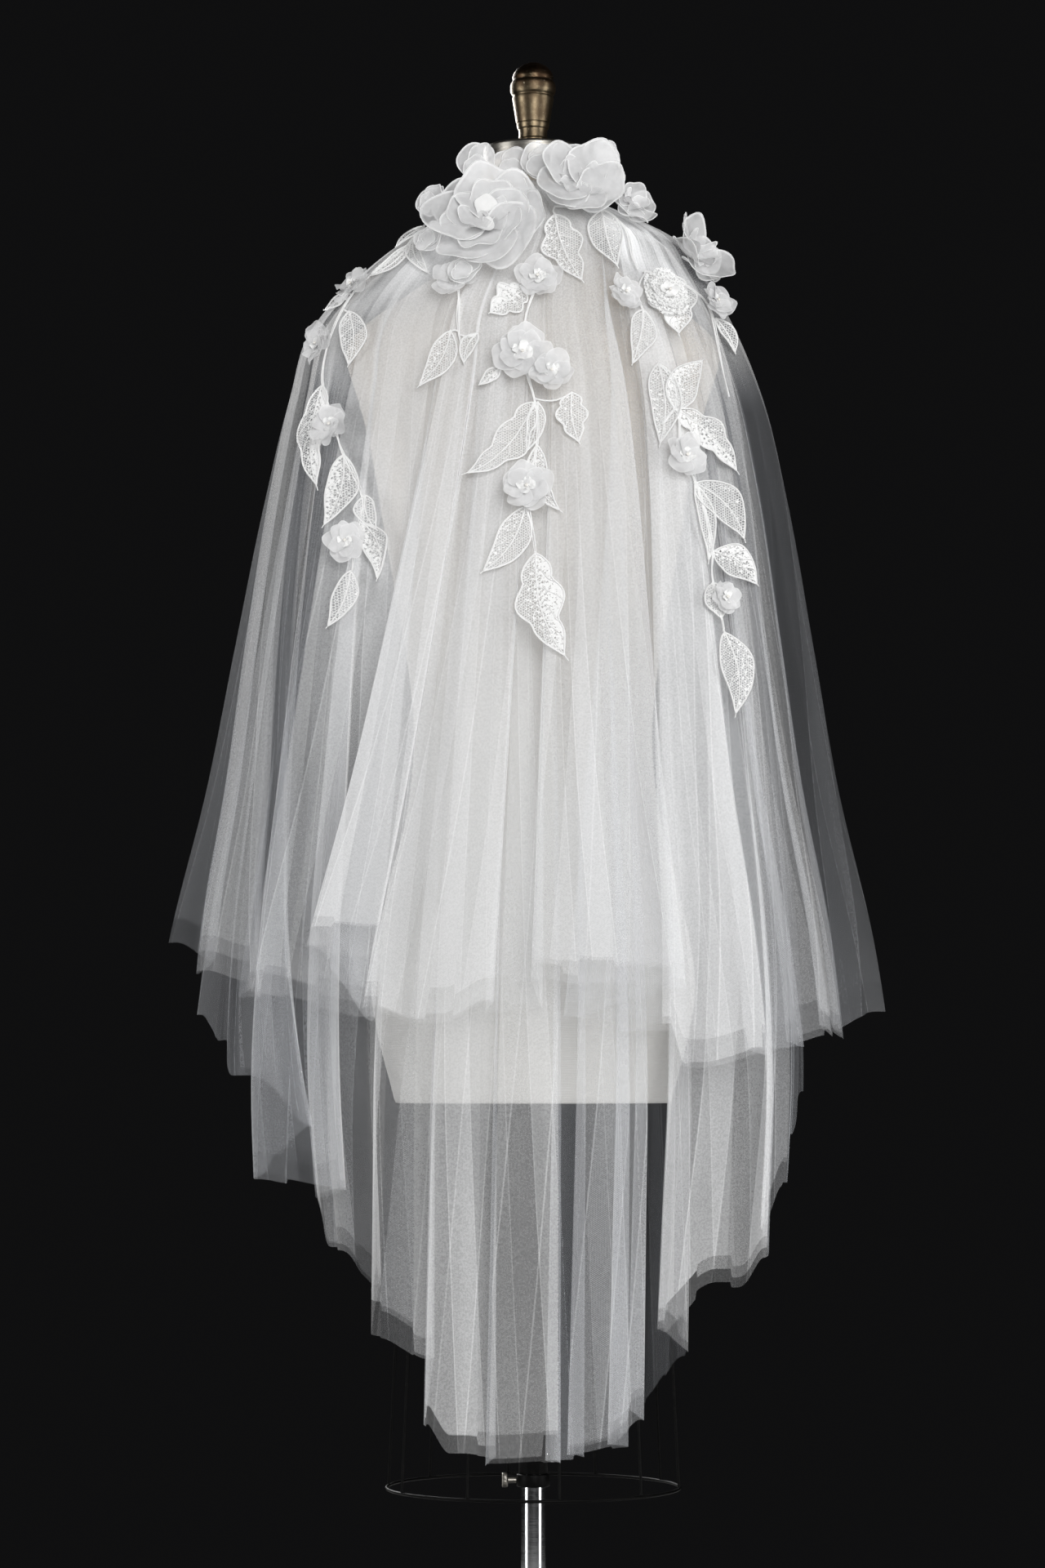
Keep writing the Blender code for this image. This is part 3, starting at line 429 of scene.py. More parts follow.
# %% The tables of the two tiers and of the form under them, in millimetres and degrees
# Columns: height, half width, depth to the back, depth to the front.
FORM_SECTIONS = [
    (603, 140, 101, 106), (615, 146, 107, 111), (720, 168, 117, 112), (820, 152, 105, 103),
    (900, 132, 93, 98), (980, 124, 88, 97), (1060, 131, 93, 105), (1140, 145, 101, 122),
    (1210, 157, 106, 131), (1270, 167, 107, 122), (1330, 181, 101, 101), (1372, 194, 88, 84),
    (1395, 193, 76, 73), (1420, 170, 66, 63), (1450, 127, 60, 58), (1480, 87, 57, 56), (1510, 62, 55, 55),
    (1540, 54, 54, 54), (1585, 54, 54, 54),
]
# Columns: height, half width, depth behind the axis, sideways lean of the middle.
SHORT_BELL = [
    (640, 385, 292, -7), (770, 366, 276, -7), (930, 330, 254, -7), (1080, 304, 228, -6),
    (1240, 275, 198, -5), (1340, 251, 172, -6), (1410, 225, 147, -9), (1466, 184, 122, 0),
    (1505, 143, 101, 9), (1530, 96, 81, 4), (1546, 67, 67, 0), (1556, 66, 66, 0),
]
LONG_BELL = [
    (240, 335, 218, -5), (480, 340, 216, -5), (640, 342, 212, -5), (770, 330, 206, -5),
    (930, 304, 198, -5), (1080, 280, 184, -5), (1240, 252, 164, -5), (1340, 232, 148, -6),
    (1410, 210, 128, -8), (1466, 168, 105, -1), (1505, 125, 86, 7), (1528, 82, 70, 2), (1543, 60, 60, 0),
    (1552, 60, 60, 0),
]
# Columns: across, depth and height at the hem, the angle at the band, and how many layers of net lie
# together from this fold line to the next.
SHORT_FOLDS = [
    (-379, 20, 769, -100, 1.6), (-328, -62, 749, -96, 1.6), (-339, -104, 735, -92, 3),
    (-278, -138, 723, -80, 1), (-290, -176, 711, -45, 3), (-158, -194, 688, -24, 2),
    (-225, -222, 757, -14, 7), (-158, -250, 752, -9, 5), (-168, -212, 698, -7, 6),
    (-104, -242, 684, -4, 6.5), (-42, -266, 704, 1, 2), (-46, -238, 695, 3, 3), (7, -228, 697, 5, 2),
    (0, -270, 725, 7, 5), (76, -282, 718, 13, 4.5), (148, -262, 715, 22, 2), (29, -232, 685, 26, 2),
    (126, -214, 678, 31, 7), (158, -212, 638, 35, 6.5), (232, -186, 651, 38.5, 1.4),
    (210, -164, 657, 41, 1.4), (271, -150, 660, 43.5, 1), (254, -120, 666, 46, 2.2),
    (303, -108, 675, 48.5, 1), (290, -80, 681, 53, 3), (317, -58, 668, 58, 1.3),
    (308, -26, 681, 61, 1.15), (366, 22, 699, 100, 1),
]
LONG_FOLDS = [
    (-353, 35, 697, -100, 1), (-320, -30, 669, -94, 1), (-296, -110, 631, -88, 1.4),
    (-220, -172, 583, -80, 1), (-288, -42, 527, -64, 1.6), (-190, -122, 516, -50, 3.5),
    (-226, -20, 507, -42, 2), (-201, -18, 455, -37, 3), (-158, -70, 420, -31, 4.5),
    (-159, -150, 374, -20, 3.5), (-101, -150, 351, -16, 1), (-108, -196, 288, -11, 4.8),
    (-77, -206, 259, -8, 4.8), (-38, -182, 255, -5, 1), (-45, -220, 249, -1, 5.6), (24, -220, 252, 5, 1),
    (12, -188, 253, 7.5, 1), (50, -178, 253, 10, 1), (34, -206, 258, 12.5, 2.9), (92, -200, 267, 17, 1),
    (74, -166, 266, 19.5, 2.8), (110, -164, 289, 22, 1), (94, -130, 299, 24.5, 0.25),
    (156, -134, 354, 30, 2.5), (124, -94, 375, 34, 6.5), (196, -64, 419, 42, 4.8), (242, -45, 448, 48, 1),
    (228, -104, 478, 57, 2.5), (256, -90, 523, 63, 1), (266, -46, 572, 76, 1), (281, 15, 614, 100, 1),
]
print("fold lines:", len(SHORT_FOLDS), "on the short tier,", len(LONG_FOLDS), "on the long one")

# %% [markdown]
# A cloth simulation could gather a flat sheet, but these folds have to fall where they fall on the real
# veil. So the sheet is worked out from its fold lines. Along the cloth it is as long as its hem is, and
# near the band that length is packed into a much shorter one, as gathering does.

# %% Fold lines on a bell
FOLD_GROWTH = 0.7  # the power by which a fold stands out on the way down
PLEATS = (16, 70)  # narrowest and widest pleat at the hem
PLEAT_COVER = (0.72, 1.35)  # of one layer: over several layers the pleats even out
HEM_STEP = 5.5  # how far one pleat's hem can hang below or above the next
HEM_TURN = 1.5  # how much faster than evenly the hem passes from one fold line's height to the next
INNER_HEM = (3, 36)  # how far the inner hems hang above the lowest one
MOST_PLEATS = 200


def bell_at(bell, height):
    """Half width, depth and lean of a bell at an array of heights."""
    table = np.array(bell, float) * MM
    return [through(table[:, 0], table[:, k], height) for k in (1, 2, 3)]


def on_bell(bell, height, angle, proud):
    """Points at an angle and a height: proud times half width and depth from the bell's own middle."""
    half_width, depth, lean = bell_at(bell, height)
    return np.stack([lean + proud * half_width * np.sin(angle), -proud * depth * np.cos(angle), height], -1)


def fold_lines(folds, bell, at):
    """Angle at the band, angle, proudness and height at the hem of the fold lines numbered at."""
    table = np.array([row[:3] for row in folds], float)
    rows = np.arange(len(table))
    x, y, hem = (through(rows, table[:, k] * MM, at) for k in range(3))
    top_angle = np.radians(np.interp(at, rows, [row[3] for row in folds]))
    half_width, depth, lean = bell_at(bell, hem)
    across, back = (x - lean) / half_width, -y / depth
    return top_angle, np.arctan2(across, back), np.hypot(across, back), hem


def random_curve(places, knots, seed):
    """A smooth random curve between -1 and 1 with the given number of knots over the places."""
    values = np.random.default_rng(seed).uniform(-1, 1, knots)
    return through(np.linspace(places.min(), places.max(), knots), values, places)


def pleat_strips(cloth, seed):
    """Pleats that lie flat on each other: strips of random width, each with its own cover and hems."""
    chance = np.random.default_rng(seed)
    edges = np.cumsum(chance.uniform(*PLEATS, MOST_PLEATS)) * MM
    strip = np.searchsorted(edges, cloth)
    cover = chance.uniform(*PLEAT_COVER, MOST_PLEATS + 1)[strip]
    step = chance.uniform(-HEM_STEP, HEM_STEP, MOST_PLEATS + 1)[strip] * MM
    return cover, step, chance.uniform(*INNER_HEM, (INNER_HEMS, MOST_PLEATS + 1))[:, strip] * MM


def cloth_run(folds, columns):
    """Even steps of cloth along the hem, their place among the fold lines, and how wide each is seen."""
    fine = np.linspace(0, len(folds) - 1, 4001)
    table = np.array([row[:3] for row in folds], float) * MM
    line = np.stack([through(np.arange(len(table)), table[:, k], fine) for k in range(3)], -1)
    run = np.concatenate([[0], np.cumsum(np.linalg.norm(np.diff(line, axis=0), axis=1))])
    seen = np.concatenate([[0], np.cumsum(np.abs(np.diff(line[:, 0])))])
    cloth = np.linspace(0, run[-1], columns)
    at = np.interp(cloth, run, fine)
    return cloth, at, np.clip(np.gradient(np.interp(at, fine, seen), cloth), 0.0, 1.0)


def hem_heights(folds, at):
    """The hem's height passes from one fold line's to the next's in a soft step."""
    between = np.clip((at % 1 - 0.5) * HEM_TURN + 0.5, 0, 1)
    heights = np.array([row[2] for row in folds], float) * MM
    return np.interp(np.floor(at) + between**2 * (3 - 2 * between), np.arange(len(folds)), heights)


print("hem of the short tier:", round(float(cloth_run(SHORT_FOLDS, 2)[0][-1]), 3), "m of cloth")

# %% [markdown]
# Cloth is never as even as its fold lines. Narrow gathers stand at the band, and wider waves of uneven
# width fade in towards the hem. A Displace modifier with noise would wrinkle the net like paper, because
# it knows nothing of the way that cloth hangs. So each is a sine along the cloth, pushed about by a
# random curve.

# %% Ripples
GATHER_WIDTH = 23 * MM
WAVE_WIDTH = 58 * MM
BROAD_WIDTH = 131 * MM


def ripples(cloth, share, seed):
    """How far the cloth waves out of its folds: a sum of three sines that change with the share down."""
    gathers = np.sin(2 * np.pi * (cloth / GATHER_WIDTH + 0.55 * random_curve(cloth, 40, seed)))
    gathers = gathers * (0.75 + 0.25 * random_curve(cloth, 60, seed + 1))
    waves = cloth / WAVE_WIDTH + 0.8 * random_curve(cloth, 22, seed + 2) + 0.35 * share
    broad = 2 * np.pi * (cloth / BROAD_WIDTH + 0.6 * random_curve(cloth, 12, seed + 3)) + 1.6 * share
    waves = np.sin(2 * np.pi * waves) * (0.1 + 0.8 * share**1.2)
    return MM * (gathers * (0.7 - 0.5 * share) + waves + np.sin(broad) * 2.0 * share**1.5)


print("a ripple's height at the hem:", np.ptp(ripples(np.linspace(0, 1, 500), 1.0, 11)).round(4), "m")

# %% [markdown]
# The cover of a point starts from its panel's layers. It grows where the cloth is gathered and where it
# turns its edge to the eye. Next to the band and beside the shoulders the gathers add more, and where the
# pleats part over the shoulders some is lost.

# %% How much net lies at each point
GATHERED_POWER = 0.5  # narrow gathers hide behind each other, so cover grows more slowly than cloth
BUNCHED = 5.0  # cover that the bunched gathers add next to the band
BAND_REACH = 0.16  # how far down from the band they reach, in metres
SHOULDER_COVER = 5.0  # cover that the gathers add beside the slope of the shoulders
SHOULDER_HEIGHT = 1.32
SHOULDER_THIN = 0.5  # share of the cover that is lost high up over the form
BESIDE = 0.5  # share that is added high up beside the form, where the two tiers lie close together
HIGH_REACH = 0.35  # how far down from the band high up is
DENSER_HIGH = {4: 6.0}  # layers of a panel of the short tier high up, where more of its net lies together


def layers_of(folds, at, heights, denser_high):
    """Layers of net that lie together in each panel, with more high up in the panels of denser_high."""
    panel = np.clip(np.floor(at - 1e-6).astype(int), 0, len(folds) - 1)
    layers = np.array([row[4] for row in folds])[panel] + 0 * heights
    upper = np.clip((heights - 0.9) / 0.22, 0, 1)
    for number, high_layers in denser_high.items():
        layers = np.where(panel == number, layers + (high_layers - layers) * upper, layers)
    return layers


def cover_with_gathers(cover, points, top):
    """Cover times what is gained beside the form and lost over it, plus what the gathers add."""
    heights, aside = points[..., 2], np.abs(points[..., 0])
    form_edge = np.interp(heights, *np.array(FORM_SECTIONS, float).T[:2] * MM)
    over_form = np.clip((form_edge + 0.01 - aside) / 0.03, 0, 1)
    high = np.clip(1 - (top - heights) / HIGH_REACH, 0, 1)
    beside = np.clip(1.4 - (aside - form_edge) / 0.05, 0, 1)
    shoulder = np.clip((heights - SHOULDER_HEIGHT) / 0.08, 0, 1) * beside
    bunched = BUNCHED * np.clip(1 - (top - heights) / BAND_REACH, 0, 1) ** 1.5
    bunched = np.maximum(bunched, SHOULDER_COVER * shoulder * (1 - over_form))
    return cover * (1 - SHOULDER_THIN * high * over_form + BESIDE * high * (1 - over_form)) + bunched


print("the gathers add up to", BUNCHED, "layers at the band")

# %% [markdown]
# Now the sheet itself: rows run down the fold lines, and columns are spread evenly along the cloth at the
# hem. The shading normals are turned most of the way to the plain bell's, because thin threads scatter
# light to all sides, where a smooth sheet would show every fold as a hard edge of light and dark.

# %% The two tiers
TIER_COLUMNS = 1230
TIER_ROWS = 80
SCATTER = 0.8  # how far the net's shading leaves its folds for the plain bell


def tier_surface(folds, bell, seed, denser_high):
    """Points, cloth coordinates, what the tulle's finish needs at each, and the bell's outward way."""
    cloth, at, wide = cloth_run(folds, TIER_COLUMNS)
    top_angle, hem_angle, hem_proud, _ = fold_lines(folds, bell, at)
    pleat_cover, hem_step, inner_hems = pleat_strips(cloth, seed + 4)
    hem = hem_heights(folds, at) + hem_step * wide
    top = bell[-1][0] * MM
    down = np.linspace(0, 1, TIER_ROWS)[:, None]
    share = 0.35 * down**2 + 0.65 * down
    heights = top + (hem - top) * share
    angle = top_angle + (hem_angle - top_angle) * share
    smooth = on_bell(bell, heights, angle, 1 + (hem_proud - 1) * share**FOLD_GROWTH)
    near_band = np.clip((top - heights) / 0.035, 0.15, 1)
    ripple = (near_band * ripples(cloth, share, seed))[..., None]
    points = smooth + ripple * np.stack([np.sin(angle), -np.cos(angle), 0 * angle], -1)
    step, flow = np.gradient(smooth, axis=1), np.gradient(smooth, axis=0)
    half_width, depth, _ = bell_at(bell, heights)
    outward = unit(np.stack([np.sin(angle) / half_width, -np.cos(angle) / depth, 0.8 + 0 * angle], -1))
    face_on = np.clip(np.abs(np.sum(unit(np.cross(flow, step)) * outward, -1)), 0.5, 1)
    width = np.linalg.norm(np.cross(step, unit(flow)), axis=-1)
    gathered = np.gradient(cloth) / np.maximum(width, 0.05 * MM)
    layers = layers_of(folds, at, heights, denser_high)
    cover = layers * pleat_cover ** layers**-0.5 * np.clip(gathered, 1, 10) ** GATHERED_POWER / face_on
    kept = {f"inner_hem_{k}": inner_hems[k] + 0 * share for k in range(INNER_HEMS)}
    kept["cover"] = cover_with_gathers(cover, smooth, top)
    kept["gathered"] = np.clip(gathered, 1, 4)
    kept["above"] = (top - hem) * (1 - share)
    kept["single"] = 1 / np.maximum(layers, 1)
    uv = np.stack([cloth + 0 * share, (top - hem) * share], -1)
    return points, uv, kept, outward


def soften(made, outward, share=SCATTER):
    """Turn each point's shading normal a share of the way to outward, on the side that it is on."""
    normal = np.empty(len(made.data.vertices) * 3)
    made.data.vertices.foreach_get("normal", normal)
    normal = normal.reshape(-1, 3)
    side = np.clip(np.sum(normal * outward, -1) / 0.2, -1, 1)[:, None]
    soft = unit(normal * (1 - share) + outward * side * share)
    made.data.normals_split_custom_set_from_vertices(soft)


def tier(name, node, folds, bell, seed, denser_high):
    """One tier as a thin shell on its solid's form, and the length of its hem."""
    points, uv, kept, outward = tier_surface(folds, bell, seed, denser_high)
    piece = Piece(name, tulle)
    piece.add(points, out=(0, -1, 0), uv=uv, **kept)
    made = piece.make(weld=False)
    soften(made, outward.reshape(-1, 3))
    seat(made, "form", "tulle", node)
    hem_length = uv[-1, -1, 0]
    area = sum(p.area for p in made.data.polygons)
    most = kept["cover"].max()
    print(f"{name}: hem {hem_length:.2f} m, surface {area:.2f} m2, cover up to {most:.1f} layers")
    return made, hem_length


long_tier, long_hem = tier("long_tier_tulle", "tier_long", LONG_FOLDS, LONG_BELL, 11, {})
short_tier, short_hem = tier("short_tier_tulle", "tier_short", SHORT_FOLDS, SHORT_BELL, 23, DENSER_HIGH)

# %% [markdown]
# The form is padded canvas over a hard shell. It could be sculpted, but each of its level sections is two
# half ovals, one for the back and one for the front, so a table of sections gives it exactly. Seams are
# shallow grooves in that surface, since a stitched seam pulls the padding in.

# %% Canvas
CANVAS_THREAD = 1.1 * MM


def canvas_finish():
    """Woven canvas: two crossed thread waves on its own UV map in metres, with faint clouds of tone."""
    finish = Finish("canvas", Roughness=0.9, Sheen_Weight=0.12, Specular_IOR_Level=0.2)
    x, y, _ = finish.parts(finish.place("UV"))
    pace = 2 * math.pi / CANVAS_THREAD
    weave = (x * pace).wave() * (y * pace).wave()
    cloud = finish.grain(finish.place(), 9.0, 5.0).between(0.3, 0.7)
    slub = finish.grain(finish.joined(x * 40, y * 900), 1.0, 2.0).between(0.35, 0.7)
    tone = cloud * 0.6 + slub * 0.25 + weave * 0.08
    high = finish.parts(finish.place())[2].between(0.8, 1.4)
    darker = finish.blend(high, (0.62, 0.61, 0.585, 1), (0.66, 0.59, 0.51, 1))
    lighter = finish.blend(high, (0.68, 0.67, 0.65, 1), (0.74, 0.68, 0.60, 1))
    finish.feed(Base_Color=finish.blend(tone, darker, lighter))
    finish.bump(weave * 0.6 + slub, 0.00025, 0.6)
    return finish


canvas = canvas_finish()
print("canvas: a thread every", CANVAS_THREAD / MM, "mm")

# %% The form, from its underside up
SLEEVE_BORE = 13.7  # in millimetres
SOCKET_DEPTH = 0.377  # in metres
SEAMS = (0, 52, 128, 180, 232, 308)  # degrees round the form from the middle of its back
SEAM_DEPTH = 0.9 * MM
SEAM_HALF_WIDTH = 2.2 * MM


def form_surface(rows=150, columns=160):
    """Half width times sine and depth times cosine of the turn, less a groove at each seam."""
    table = np.array(FORM_SECTIONS, float) * MM
    index = np.linspace(0, len(table) - 1, rows)
    sections = [through(np.arange(len(table)), table[:, k], index)[:, None] for k in range(4)]
    height, half_width, back, front = sections
    turns = np.linspace(0, 2 * np.pi, columns + 1)
    turns = turns - 0.10 * np.sin(4 * turns) / 4
    groove = 0.0
    for seam in SEAMS:
        away = np.abs((turns - np.radians(seam) + np.pi) % (2 * np.pi) - np.pi) * half_width
        groove = groove + SEAM_DEPTH * np.exp(-((away / SEAM_HALF_WIDTH) ** 2))
    depth = np.where(np.cos(turns) > 0, back, front)
    x = (half_width - groove) * np.sin(turns)
    y = -(depth - groove) * np.cos(turns)
    return np.stack([x, y, height + 0 * turns], -1)


def flat_ring(outer, bore, height):
    """A level ring from the outline of the first row of a surface in to a round bore."""
    turns = np.arctan2(outer[:, 0], -outer[:, 1])
    inner = np.stack([bore * np.sin(turns), -bore * np.cos(turns), 0 * turns + height], -1)
    outer = np.stack([outer[:, 0], outer[:, 1], 0 * turns + height], -1)
    return np.stack([outer, (outer + inner) / 2, inner])


def dress_form():
    """The canvas body, closed by a round top and a flat underside with the socket for the pole."""
    surface = form_surface()
    height = surface[:, :1, 2]
    around = np.linspace(0, 1.05, surface.shape[1])
    uv = np.stack([around + 0 * height, height + 0 * around], -1)
    piece = Piece("form_canvas", canvas)
    piece.add(surface, uv=uv)
    top = flat_ring(surface[-1], 0.0, surface[-1, 0, 2])
    piece.add(top, out=(0, 0, 1), uv=top[..., :2])
    under = flat_ring(surface[0], SLEEVE_BORE * MM, surface[0, 0, 2])
    piece.add(under, out=(0, 0, -1), uv=under[..., :2])
    socket = np.stack([under[-1], under[-1] + np.array([0, 0, SOCKET_DEPTH])])
    inwards = socket[:-1, :-1] * (-1, -1, 0)
    piece.add(socket, out=inwards.reshape(-1, 3))
    lid = flat_ring(socket[-1], 0.0, socket[-1, 0, 2])
    piece.add(lid, out=(0, 0, -1))
    seat(piece.make(), "form", "canvas", "form_body")


dress_form()

# %% [markdown]
# What holds the form up and tops it is metal, and its look is in the finish: tarnished brass with small
# bright nicks, brushed steel with fine rings, chrome with faint scratches, black lacquer with a little
# dust, and painted cast iron. Photographs of such surfaces could be wrapped on, but noise drawn out along
# the way that a tool or a hand has rubbed gives the same marks at any size.

# %% Brass
def brass_finish():
    """Brass, darker towards the top of the knob, cloudily tarnished, with turning marks and small bright
    nicks.
    """
    finish = Finish("aged_brass", Metallic=1.0)
    place = finish.place()
    _, _, z = finish.parts(place)
    cloud = finish.grain(place, 60.0, 6.0, 0.65)
    # cloud noise for tarnished patches, plus a plain ramp that is darker towards the top of the knob
    tarnish_and_darker_top = (cloud.between(0.35, 0.62) * 0.7 + z.between(1.658, 1.690) * 0.8).least(1.0)
    nick = finish.grain(place, 330.0, 3.0, 0.7).between(0.66, 0.72)
    ring = (z * 9000.0).wave() * 0.5 + 0.5
    base = finish.blend(tarnish_and_darker_top, (0.24, 0.19, 0.12, 1), (0.07, 0.043, 0.025, 1))
    finish.feed(Base_Color=finish.blend(nick * 0.8, base, (0.75, 0.66, 0.50, 1)))
    finish.feed(Roughness=cloud.between(0.3, 0.7, 0.26, 0.46) - nick * 0.1)
    finish.bump(ring * 0.3 + cloud + nick * -0.8, 0.0004, 0.5)
    return finish


brass = brass_finish()
print(brass.material.name, "has", len(brass.tree.nodes), "nodes")


# %% Steel and chrome
def steel_finish():
    """Brushed steel: noise drawn out round the axis, in Object coordinates."""
    finish = Finish("brushed_steel", Metallic=1.0)
    x, y, z = finish.parts(finish.place())
    brushed = finish.grain(finish.joined(x * 14, y * 14, z * 2600), 1.0, 3.0, 0.6)
    smear = finish.grain(finish.place(), 30.0, 3.0).between(0.35, 0.65)
    finish.feed(Base_Color=finish.blend(smear, (0.36, 0.345, 0.31, 1), (0.25, 0.235, 0.21, 1)))
    finish.feed(Roughness=brushed.between(0.3, 0.7, 0.26, 0.42))
    finish.bump(brushed, 0.0002, 0.5)
    return finish


def chrome_finish():
    """Chrome with fine rings of wear where the form's tube slides."""
    finish = Finish("chrome", Metallic=1.0)
    x, y, z = finish.parts(finish.place())
    scratch = finish.grain(finish.joined(x * 60, y * 60, z * 1400), 1.0, 4.0, 0.6)
    worn = scratch.between(0.4, 0.7)
    finish.feed(Base_Color=finish.blend(worn, (0.62, 0.63, 0.65, 1), (0.5, 0.51, 0.53, 1)))
    finish.feed(Roughness=scratch.between(0.3, 0.7, 0.12, 0.22))
    return finish


steel, chrome = steel_finish(), chrome_finish()
print(steel.material.name, "and", chrome.material.name, "are drawn out round the axis")


# %% Black lacquer and cast iron
def black_finish():
    """Black lacquer on wire: a thin uneven coat, with a little dust."""
    finish = Finish("black_wire", Specular_IOR_Level=0.06)
    dust = finish.grain(finish.place(), 180.0, 4.0, 0.6).between(0.5, 0.75)
    finish.feed(Base_Color=finish.blend(dust * 0.4, (0.002, 0.002, 0.002, 1), (0.014, 0.0135, 0.013, 1)))
    finish.feed(Roughness=dust * 0.25 + 0.45)
    finish.bump(dust, 0.0002, 0.4)
    return finish


def iron_finish():
    """Cast iron under dark paint: a pebbled bump and paint rubbed thin at the rim."""
    finish = Finish("cast_iron", Metallic=0.5)
    place = finish.place()
    x, y, _ = finish.parts(place)
    pebble = finish.grain(place, 520.0, 4.0, 0.6)
    cloud = finish.grain(place, 14.0, 4.0).between(0.3, 0.7)
    rubbed = finish.grain(place, 90.0, 4.0).between(0.45, 0.65)
    rim = ((x * x + y * y) ** 0.5).between(0.196, 0.208) * rubbed
    dark = finish.blend(cloud, (0.018, 0.018, 0.020, 1), (0.032, 0.031, 0.032, 1))
    finish.feed(Base_Color=finish.blend(rim * 0.7, dark, (0.12, 0.115, 0.11, 1)))
    finish.feed(Roughness=cloud * 0.15 + 0.42)
    finish.bump(pebble, 0.0006, 0.6)
    return finish


black, iron = black_finish(), iron_finish()
print(black.material.name, "and", iron.material.name, "are done")

# %% [markdown]
# The finial, the neck plate, the pole and the base are made on a lathe. Blender's Screw modifier could
# spin them, but a table says each groove in millimetres, and its rows lie close together where the
# profile turns a corner, so that the edge stays crisp.

# %% Turned pieces, from the finial down to the base
POLE_RADIUS = 12.7
# Columns of each: height, radius, from the top down.
FINIAL = [
    (1694.7, 0), (1694.2, 5), (1692.2, 10.5), (1688.5, 16), (1683, 20.2), (1678.5, 21.8), (1676.2, 21.3),
    (1675, 21.4), (1673.2, 22.8), (1669.5, 23.9), (1665.5, 23.9), (1661.8, 23), (1659.3, 21.2),
    (1658.4, 20.9), (1657.4, 21.5), (1655.6, 21.7), (1652, 21.1), (1641, 19.3), (1632, 18),
    (1630.4, 17.7), (1629.8, 16.9), (1628.6, 17.1), (1624.2, 16.3), (1623, 15.3), (1618, 14.7),
    (1614.4, 15.1), (1613, 14.1), (1612, 13.8), (1611, 14.5), (1609.3, 15.5), (1606, 15.7),
    (1604.3, 15.5), (1604.3, 0),
]
NECK_PLATE = [
    (1604, 0), (1604, 48), (1603.6, 50.4), (1602.4, 51.6), (1600.6, 52), (1592, 52), (1586, 52),
    (1585.3, 51.6), (1585.3, 0),
]
POLE = [
    (860, 0), (860, 11.2), (859.4, 12.4), (858, POLE_RADIUS), (600, POLE_RADIUS), (60.3, POLE_RADIUS),
    (60.3, 0),
]
BASE = [
    (60, 13.2), (60, 24), (59.4, 27.5), (57.4, 29.4), (54, 30.6), (44, 33), (38, 42), (32.5, 74),
    (28, 110), (23.5, 156), (18.5, 193), (15.4, 204), (11.5, 208.6), (7.5, 209.8), (1.2, 210), (0, 208.8),
    (0, 0), (60, 0),
]


def turned_piece(name, node, body, slot, finish, rows):
    """One turned piece in its finish."""
    piece = Piece(name, finish)
    piece.add(turned(rows))
    return seat(piece.make(), body, slot, node)


turned_piece("finial_turned", "finial", "form", "aged_brass", brass, FINIAL)
turned_piece("neck_plate_brushed", "neck_plate", "form", "brushed_steel", steel, NECK_PLATE)
turned_piece("pole_chrome", "pole", "pole", "chrome", chrome, POLE)
turned_piece("base_cast", "base", "stand", "cast_iron", iron, BASE)

# %% [markdown]
# The black tube that slides on the pole ends in a collar with a small thumb screw. Ten straight wires
# hang from the form's underside to one round wire, which makes the hip cage. Tube and collar need an open
# bore, so each is a closed profile spun round the axis. Wires could be curve objects with a bevel, but as
# circles carried along a path they are meshes from the start.

# %% Centre tube, collar and screw
# Heights and radii in millimetres, as in the tables.
COLLAR_BOTTOM, COLLAR_TOP = 209.5, 222.2
COLLAR_RADIUS = 17.2
TUBE_RADIUS = 15.0
TUBE_GAP = 0.3  # between the tube and the collar under it
FORM_UNDERSIDE = 602.7
# Columns: how far out along the screw, radius.
THUMB_SCREW = [
    (0.3, 0), (0.3, 3.0), (8.6, 3.2), (9, 5.8), (9.4, 7.0), (10.2, 7.5), (14, 7.5), (14.8, 7.0),
    (15, 6.2), (15, 0),
]
SHANK = 6.5 * MM  # no flutes where the radius is less
FLUTES = 24
FLUTE_DEPTH = 0.05


def sleeve(name, node, bottom, top, outer, bevel):
    """A tube with an open bore, its outer edges rounded: a closed profile spun round Z."""
    half = bevel * 0.3
    profile = np.array([
        (top, SLEEVE_BORE), (top, outer - bevel), (top - half, outer - half), (top - bevel, outer),
        (bottom + bevel, outer), (bottom + half, outer - half), (bottom, outer - bevel),
        (bottom, SLEEVE_BORE), (top, SLEEVE_BORE),
    ]) * MM
    piece = Piece(name, black)
    piece.add(spun(profile[:, 0], profile[:, 1], 64))
    return seat(piece.make(), "form", "black_wire", node)


def thumb_screw():
    """A shank and a knurled head: its radius is a table along the axis, with shallow flutes in the head."""
    along, radius = np.array(THUMB_SCREW).T[:, :, None] * MM
    turns = np.linspace(0, 2 * np.pi, 97)
    flute = 1 - FLUTE_DEPTH * (radius > SHANK) * (np.cos(FLUTES * turns) > 0)
    x = -(COLLAR_RADIUS * MM + along) + 0 * turns
    y = radius * flute * np.cos(turns)
    z = (COLLAR_BOTTOM + COLLAR_TOP) / 2 * MM + radius * flute * np.sin(turns)
    piece = Piece("collar_thumb_screw", steel)
    piece.add(np.stack([x, y, z], -1))
    seat(piece.make(), "form", "chrome", "collar_screw")


sleeve("centre_tube_black", "centre_tube", COLLAR_TOP + TUBE_GAP, FORM_UNDERSIDE, TUBE_RADIUS, 0.6)
sleeve("collar_black", "collar", COLLAR_BOTTOM, COLLAR_TOP, COLLAR_RADIUS, 0.9)
thumb_screw()

# %% The wire cage
CAGE_RADIUS = 151 * MM
CAGE_HEIGHT = 208.5 * MM
WIRE_RADIUS = 1.6 * MM
WIRES = 10
FIRST_WIRE = 8.0  # its turn, in degrees
WIRE_INSET = 8 * MM  # from the form's edge


